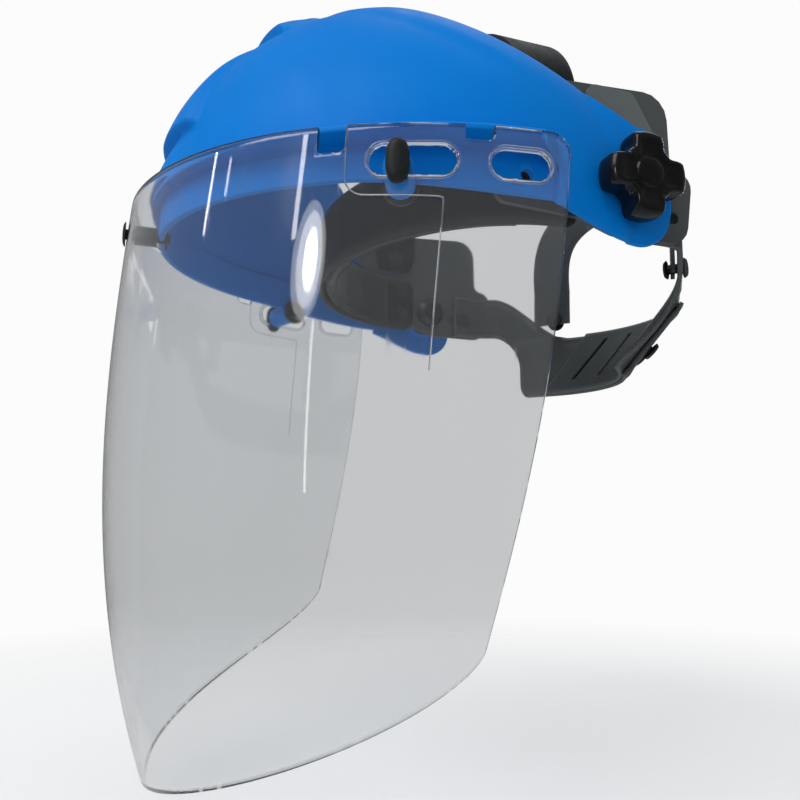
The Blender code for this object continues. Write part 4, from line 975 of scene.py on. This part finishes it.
def build_sweatband():
    """Soft pad inside the headband: a slim shell that swells by cloth pressure, then two stitched seams."""
    low, high = SWEATBAND_Z
    grid = ring_grid(math.radians(79.0), 141, (low + 0.9, high - 0.9), 12, -BAND_WALL - GAP - 0.6, 5.0)
    pad = thick_sheet("sweatband_pad", grid, SWEATBAND_THICKNESS - 2.4, FINISHES["cloth"])
    remesh = pad.modifiers.new("remesh", "REMESH")
    remesh.mode = "VOXEL"
    remesh.voxel_size = 2.6 * MM
    apply_modifiers(pad, 180.0)
    start = np.array([tuple(v.co) for v in pad.data.vertices])
    swell(pad)
    moved = np.array([tuple(v.co) for v in pad.data.vertices]) - start
    length = np.linalg.norm(moved, axis=1, keepdims=True)
    outline = start + moved * np.minimum(1.0, SWELL_LIMIT * MM / np.maximum(length, 1e-9))
    centre_y = RING_FRONT_CENTRE_Y * MM
    reach = np.hypot(outline[:, 0] / (RING_HALF_WIDTH * MM), (outline[:, 1] - centre_y) / (RING_FRONT_DEPTH * MM))
    inside_band = np.minimum(1.0, (1.0 - (BAND_WALL + GAP) / 79.0) / reach)
    outline[:, 0] *= inside_band
    outline[:, 1] = (outline[:, 1] - centre_y) * inside_band + centre_y
    for vertex, place in zip(pad.data.vertices, outline):
        vertex.co = place
    smooth = pad.modifiers.new("smooth", "CORRECTIVE_SMOOTH")
    smooth.iterations = 6
    smooth.use_only_smooth = True
    finer = pad.modifiers.new("finer", "SUBSURF")
    finer.levels = 1
    finer.render_levels = 1
    apply_modifiers(pad, 180.0)
    place_on(pad, "headgear", "foam", "sweatband")
    seam_offset = 0.35 - (SWEATBAND_THICKNESS + BAND_WALL + GAP)
    for label, z in (("lower", low + 3.4), ("upper", high - 3.4)):
        turns = [math.radians(74.0) * (k / 60.0 - 1.0) for k in range(121)]
        path = [(*ring_point(turn, seam_offset), z) for turn in turns]
        place_on(tube("sweatband_seam_" + label, path, 0.35, FINISHES["thread"]), "headgear", "foam")


# ---------------------------------------------------------------- straps


def rear_plan():
    """Plan of the rear half ring on the wearer's left, from the side plate to the nape."""
    points = [(STRAP_X, REAR_END_Y), (STRAP_X, REAR_STRAIGHT_Y)]
    centre_x = STRAP_X - REAR_CORNER_RADIUS
    for k in range(1, 13):
        turn = REAR_CORNER_TURN * k / 12.0
        points.append((centre_x + REAR_CORNER_RADIUS * math.cos(turn),
                       REAR_STRAIGHT_Y + REAR_CORNER_RADIUS * math.sin(turn)))
    corner_x, corner_y = points[-1]
    nape_x = NAPE_RADIUS * math.cos(REAR_CORNER_TURN)
    nape_y = corner_y + (corner_x - nape_x) / math.tan(REAR_CORNER_TURN)
    centre_y = nape_y - NAPE_RADIUS * math.sin(REAR_CORNER_TURN)
    for k in range(0, 25):
        turn = REAR_CORNER_TURN + (math.pi / 2.0 - REAR_CORNER_TURN) * k / 24.0
        points.append((NAPE_RADIUS * math.cos(turn), centre_y + NAPE_RADIUS * math.sin(turn)))
    return np.array(points)


def rear_y(x):
    """Where the rear half ring lies at a distance x from the middle."""
    plan = REAR_PLAN[1:]
    return float(np.interp(-abs(x), -plan[:, 0], plan[:, 1]))


def rear_path(last_x, count):
    """Evenly spaced plan points from the left side plate round the nape to x = last_x."""
    whole = np.concatenate([REAR_PLAN, REAR_PLAN[-2::-1] * np.array((-1.0, 1.0))])
    half = len(REAR_PLAN)
    kept = np.array([p for k, p in enumerate(whole) if k < half or p[0] >= last_x])
    run = np.concatenate([[0.0], np.cumsum(np.linalg.norm(np.diff(kept, axis=0), axis=1))])
    wanted = np.linspace(0.0, run[-1], count)
    return np.stack([np.interp(wanted, run, kept[:, 0]), np.interp(wanted, run, kept[:, 1])], axis=1)


def nape_share(x):
    """0 at the side plates, 1 over the nape, where the band has dropped to its lowest."""
    return smoothstep(-abs(x), -84.0, -46.0)


def rear_band_point(x, y, height_share):
    """Point on the rear band: height_share 0 at its lower edge, 1 at its upper edge."""
    drop = nape_share(x)
    top = 14.0 - 28.0 * drop
    bottom = top - REAR_BAND_HEIGHT - 12.0 * drop
    z = bottom + (top - bottom) * height_share
    lean = NAPE_LEAN * max(0.0, -13.0 - z) * drop
    return np.array((x * (1.0 - 0.004 * lean), y - lean, z))


def edge_rib(grid, inset, height):
    """Lift a grid's outer face into a soft rib that runs near its two long edges."""
    rows = grid.shape[0]
    width = float(np.linalg.norm(grid[-1, 0] - grid[0, 0]))
    rise = [min(i, rows - 1 - i) / (rows - 1) * width - inset for i in range(rows)]
    lift = height * np.exp(-(np.array(rise) / 0.8) ** 2)
    return grid + sheet_normals(grid) * lift[:, None, None]


def outer_band_point(x, y, height_share):
    """Point on the outer rear band, which stands off the inner one and ends in a free tail."""
    lap = LAP_STEP * smoothstep(-x, -62.0, -48.0) + 3.2 * smoothstep(-x, 36.0, 64.0)
    away = np.array((0.45 * math.copysign(abs(x / 60.0), -x), 1.0, -0.45))
    return rear_band_point(-x, y, height_share) + away / np.linalg.norm(away) * lap


def button_hole(side):
    """Tool for the hole where the occipital strap buttons on to a rear band."""
    turn = math.pi / 2.0 - REAR_CORNER_TURN
    outward = Vector((side * math.cos(turn), 0.62, 0.0))
    return rod((side * OCCIPITAL_X, rear_y(OCCIPITAL_X), OCCIPITAL_BUTTON_Z), outward, 18.0, 2.5)


def build_rear_bands():
    """The two lapped bands behind the head: slots in the inner one, a free tail on the outer one."""
    shares = np.linspace(0.0, 1.0, 25)
    inner = rear_path(LEFT_BAND_REACH, 150)
    grid = np.array([[rear_band_point(x, y, share) for x, y in inner] for share in shares])
    left = thick_sheet("rear_band_fine_left", grid, BAND_WALL, FINISHES["strap"])
    outer = rear_path(-RIGHT_BAND_REACH, 160)
    grid = np.array([[outer_band_point(x, y, share) for x, y in outer] for share in shares])
    right = thick_sheet("rear_band_fine_right", edge_rib(grid, 2.2, 0.5), BAND_WALL, FINISHES["strap"])
    tools = ([slot_tool(-9.0, 89.2), slot_tool(-24.0, 88.6)], [])
    y, z = BAND_STUD_PLACE
    for (side, label), band, cutters in zip(SIDES, (left, right), tools):
        for x in SIZE_PEG_X:
            normal = Vector((0.30 * x / 40.0, 0.72, -0.60))
            cutters.append(rod(rear_band_point(x, rear_y(x), 0.45), normal, 16.0, 2.3))
        cutters.append(rod((side * STRAP_X, y, z), (1, 0, 0), 10.0, 2.3))
        cutters.append(button_hole(side))
        cut_and_soften(band, cutters, 0.45)
        place_on(band, "rear_unit", "strap_plastic", "rear_band_" + label)


def slot_tool(x, back):
    """A round-ended cutter for one size slot of the inner rear band."""
    corners = ((x - 1.5, -18.0), (x + 1.5, -18.0), (x + 1.5, -42.0), (x - 1.5, -42.0))
    outline = []
    for around in zip(corners[-1:] + corners[:-1], corners, corners[1:] + corners[:1]):
        outline += rounded(*around, 1.4, 5, 1.0)
    return prism(*([(u, y, v) for u, v in outline] for y in (30.0, back)))


def occipital_point(angle, across):
    """Point on the upper rear strap: angle 0 to pi along its arch, across from -1 to 1."""
    cosine, sine = math.cos(angle), math.sin(angle)
    x = (OCCIPITAL_X - 1.0) * signed_power(cosine, 0.55) + across * 8.0 * cosine
    z = -6.0 + 62.0 * abs(sine) ** 0.55 + across * 9.0 * sine
    return np.array((x, rear_y(x) - BAND_WALL - 1.4 - 0.12 * max(0.0, z - 12.0), z))


def build_occipital_strap():
    """Upper rear strap: an arch over the back of the head between the two rear bands."""
    angles, widths = np.linspace(0.0, math.pi, 161), np.linspace(-1.0, 1.0, 13)
    grid = np.array([[occipital_point(angle, across) for angle in angles] for across in widths])
    strap = thick_sheet("occipital_strap_fine", grid, BAND_WALL, FINISHES["strap"], (0, 0, 20.0))
    cut_and_soften(strap, [button_hole(1.0), button_hole(-1.0)], 0.45)
    place_on(strap, "rear_unit", "strap_plastic", "occipital_strap")


def overhead_point(side, share, y, lap):
    """Point on one half of the overhead strap, share 0 at its lower end."""
    straight = 0.14
    if share < straight:
        z = OVERHEAD_LOW_Z + (OVERHEAD_BEND_Z - OVERHEAD_LOW_Z) * share / straight
        return (side * OVERHEAD_HALF_WIDTH, y, z)
    angle = math.radians(99.0) * (share - straight) / (1.0 - straight)
    lift = lap * smoothstep(angle, math.radians(52.0), math.radians(66.0))
    x = OVERHEAD_HALF_WIDTH * math.cos(angle)
    z = OVERHEAD_BEND_Z + (OVERHEAD_TOP_Z - OVERHEAD_BEND_Z) * math.sin(angle) + lift
    return (side * x, y, z)


def build_overhead_strap(label, side, lap):
    """Half of the strap over the head, with rounded ends."""
    rows, columns = 21, 121
    y_low, y_high = OVERHEAD_Y
    grid = np.zeros((rows, columns, 3))
    for j in range(columns):
        share = j / (columns - 1)
        from_end = min(share * 9.0, (1.0 - share) * 24.0, 1.0)
        pull = 4.0 * (1.0 - math.sqrt(1.0 - (1.0 - from_end) ** 2))
        for i in range(rows):
            y = y_low + pull + (y_high - y_low - 2.0 * pull) * i / (rows - 1)
            grid[i, j] = overhead_point(side, share, y, lap)
    half = thick_sheet("overhead_strap_fine_" + label, grid, BAND_WALL, FINISHES["ring"], (0, -20.0, 20.0))
    y, z = BUTTON_PLACE
    tools = [rod((side * OVERHEAD_HALF_WIDTH, y, z), (1, 0, 0), 10.0, 2.8)]
    tools += [rod((0, y, OVERHEAD_TOP_Z), (0, 0, 1), 20.0, 2.3) for y in (y_low + 6.0, y_high - 6.0)]
    cut_and_soften(half, tools, 0.45)
    place_on(half, "overhead_unit", "strap_plastic", "overhead_strap_" + label)


# ---------------------------------------------------------------- pieces kept from the CAD model


def finish_cad_nodes():
    """CAD pieces whose shape is right: a small round on every edge and a real material."""
    chosen = {
        "black": ("stud_clip", "lock_clip", "friction_washer", "size_peg", "occipital_button", "overhead_peg",
                  "strap_button", "band_stud", "headband_rivet"),
        "dark_steel": ("pivot_bolt",),
        "steel": ("knob_washer",),
        "brass": ("knob_insert",),
        "plate": ("side_plate",),
        "bracket": ("pivot_bracket",),
    }
    rounds = {"side_plate": 0.5, "pivot_bracket": 0.6}
    for name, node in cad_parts.items():
        for finish, starts in chosen.items():
            if name.startswith(starts):
                node.data.materials.clear()
                node.data.materials.append(FINISHES[finish])
        width = [size for start, size in rounds.items() if name.startswith(start)]
        soften(node, width[0] if width else 0.15, 35.0)


def build_camera():
    """A camera low in front of the wearer's left, looking a little up at the shield."""
    yaw, pitch, roll = (math.radians(a) for a in (-70.77, 8.30, 0.687))
    ahead = Vector((math.sin(yaw) * math.cos(pitch), math.cos(yaw) * math.cos(pitch), math.sin(pitch)))
    level = Vector((math.cos(yaw), -math.sin(yaw), 0.0))
    above = level.cross(ahead)
    right = level * math.cos(roll) + above * math.sin(roll)
    up = above * math.cos(roll) - level * math.sin(roll)
    data = bpy.data.cameras.new("camera")
    data.lens = 35.2
    data.sensor_width = 36.0
    data.clip_start = 0.01
    camera = bpy.data.objects.new("camera", data)
    rotation = Matrix((right, up, -ahead)).transposed()
    camera.matrix_world = Matrix.Translation(Vector((324.0, -159.8, -111.8)) * MM) @ rotation.to_4x4()
    bpy.context.scene.collection.objects.link(camera)
    bpy.context.scene.camera = camera


def add_light(name, shape, place, target, size, power):
    """An area light that neither the camera nor a ray through the visor sees."""
    data = bpy.data.lights.new(name, "AREA")
    data.shape = shape
    data.size, data.size_y = size
    data.energy = power
    light = bpy.data.objects.new(name, data)
    light.location = place
    light.rotation_euler = (Vector(target) - Vector(place)).to_track_quat("-Z", "Y").to_euler()
    light.visible_camera = False
    light.visible_transmission = False
    bpy.context.scene.collection.objects.link(light)


def build_world():
    """Near white to the camera and a grey gradient to the surfaces: dim in reflections, bright through the visor."""
    world = bpy.data.worlds.new("studio")
    bpy.context.scene.world = world
    world.use_nodes = True
    tree = world.node_tree
    direction = add_node(tree, "TexCoord").outputs["Generated"]
    height = add_node(tree, "SeparateXYZ", {"Vector": direction}).outputs["Z"]
    share = add_node(tree, "MapRange", {"Value": height, "From Min": -1.0}).outputs["Result"]
    grey = colour_ramp(tree, share, WORLD_GREYS)
    rays = add_node(tree, "LightPath").outputs
    shader = add_node(tree, "Background", {"Color": grey}).outputs["Background"]
    for ray, strength in (("Is Glossy Ray", 0.42), ("Is Transmission Ray", 1.28)):
        other = add_node(tree, "Background", {"Color": grey, "Strength": strength}).outputs["Background"]
        shader = mix_shaders(tree, rays[ray], shader, other)
    seen = tree.nodes["Background"]
    feed(tree, seen, {"Color": (0.97, 0.97, 0.97, 1.0)})
    shader = mix_shaders(tree, rays["Is Camera Ray"], shader, seen.outputs["Background"])
    feed(tree, tree.nodes["World Output"], {"Surface": shader})


def build_floor():
    """A pale disc under the visor that fades out toward its edge."""
    rings, sides = 24, 96
    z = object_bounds()[0].z / MM - 12.0
    turns = [2 * math.pi * k / sides for k in range(sides)]
    points = [(0.0, 0.0, z)]
    for ring in range(1, rings + 1):
        radius = FLOOR_RADIUS * ring / rings
        points += [(radius * math.cos(turn), radius * math.sin(turn), z) for turn in turns]
    faces = [(0, 1 + k, 1 + (k + 1) % sides) for k in range(sides)] + grid_faces(rings, sides, 1, True)
    made = Finish("pale_floor", specular=0.1)
    grain = made.ramp(made.noise(3.0, 3.0), (0.3, (0.80, 0.805, 0.81)), (0.7, (0.84, 0.845, 0.85)))
    made.feed({"Base Color": grain, "Roughness": 0.85})
    distance = made.node("VectorMath", {0: made.place}, operation="LENGTH").outputs["Value"]
    fade = made.spread(distance, 0.0, 1.0, 0.16, 0.58)
    clear = made.node("BsdfTransparent").outputs["BSDF"]
    made.show(mix_shaders(made.tree, fade, made.shader.outputs["BSDF"], clear))
    mesh_object("floor", points, faces, made.material)


build_crown()
build_visor()
build_visor_lines()
for side, label in SIDES:
    build_twist_lock(label, side)
    build_knob(label, side)
build_centre_stud()
build_headband()
build_sweatband()
REAR_PLAN = rear_plan()
build_rear_bands()
build_occipital_strap()
build_overhead_strap("left", 1.0, LAP_STEP)
build_overhead_strap("right", -1.0, 0.0)
finish_cad_nodes()
build_camera()
for light in LIGHTS:
    add_light(*light)
build_world()
build_floor()
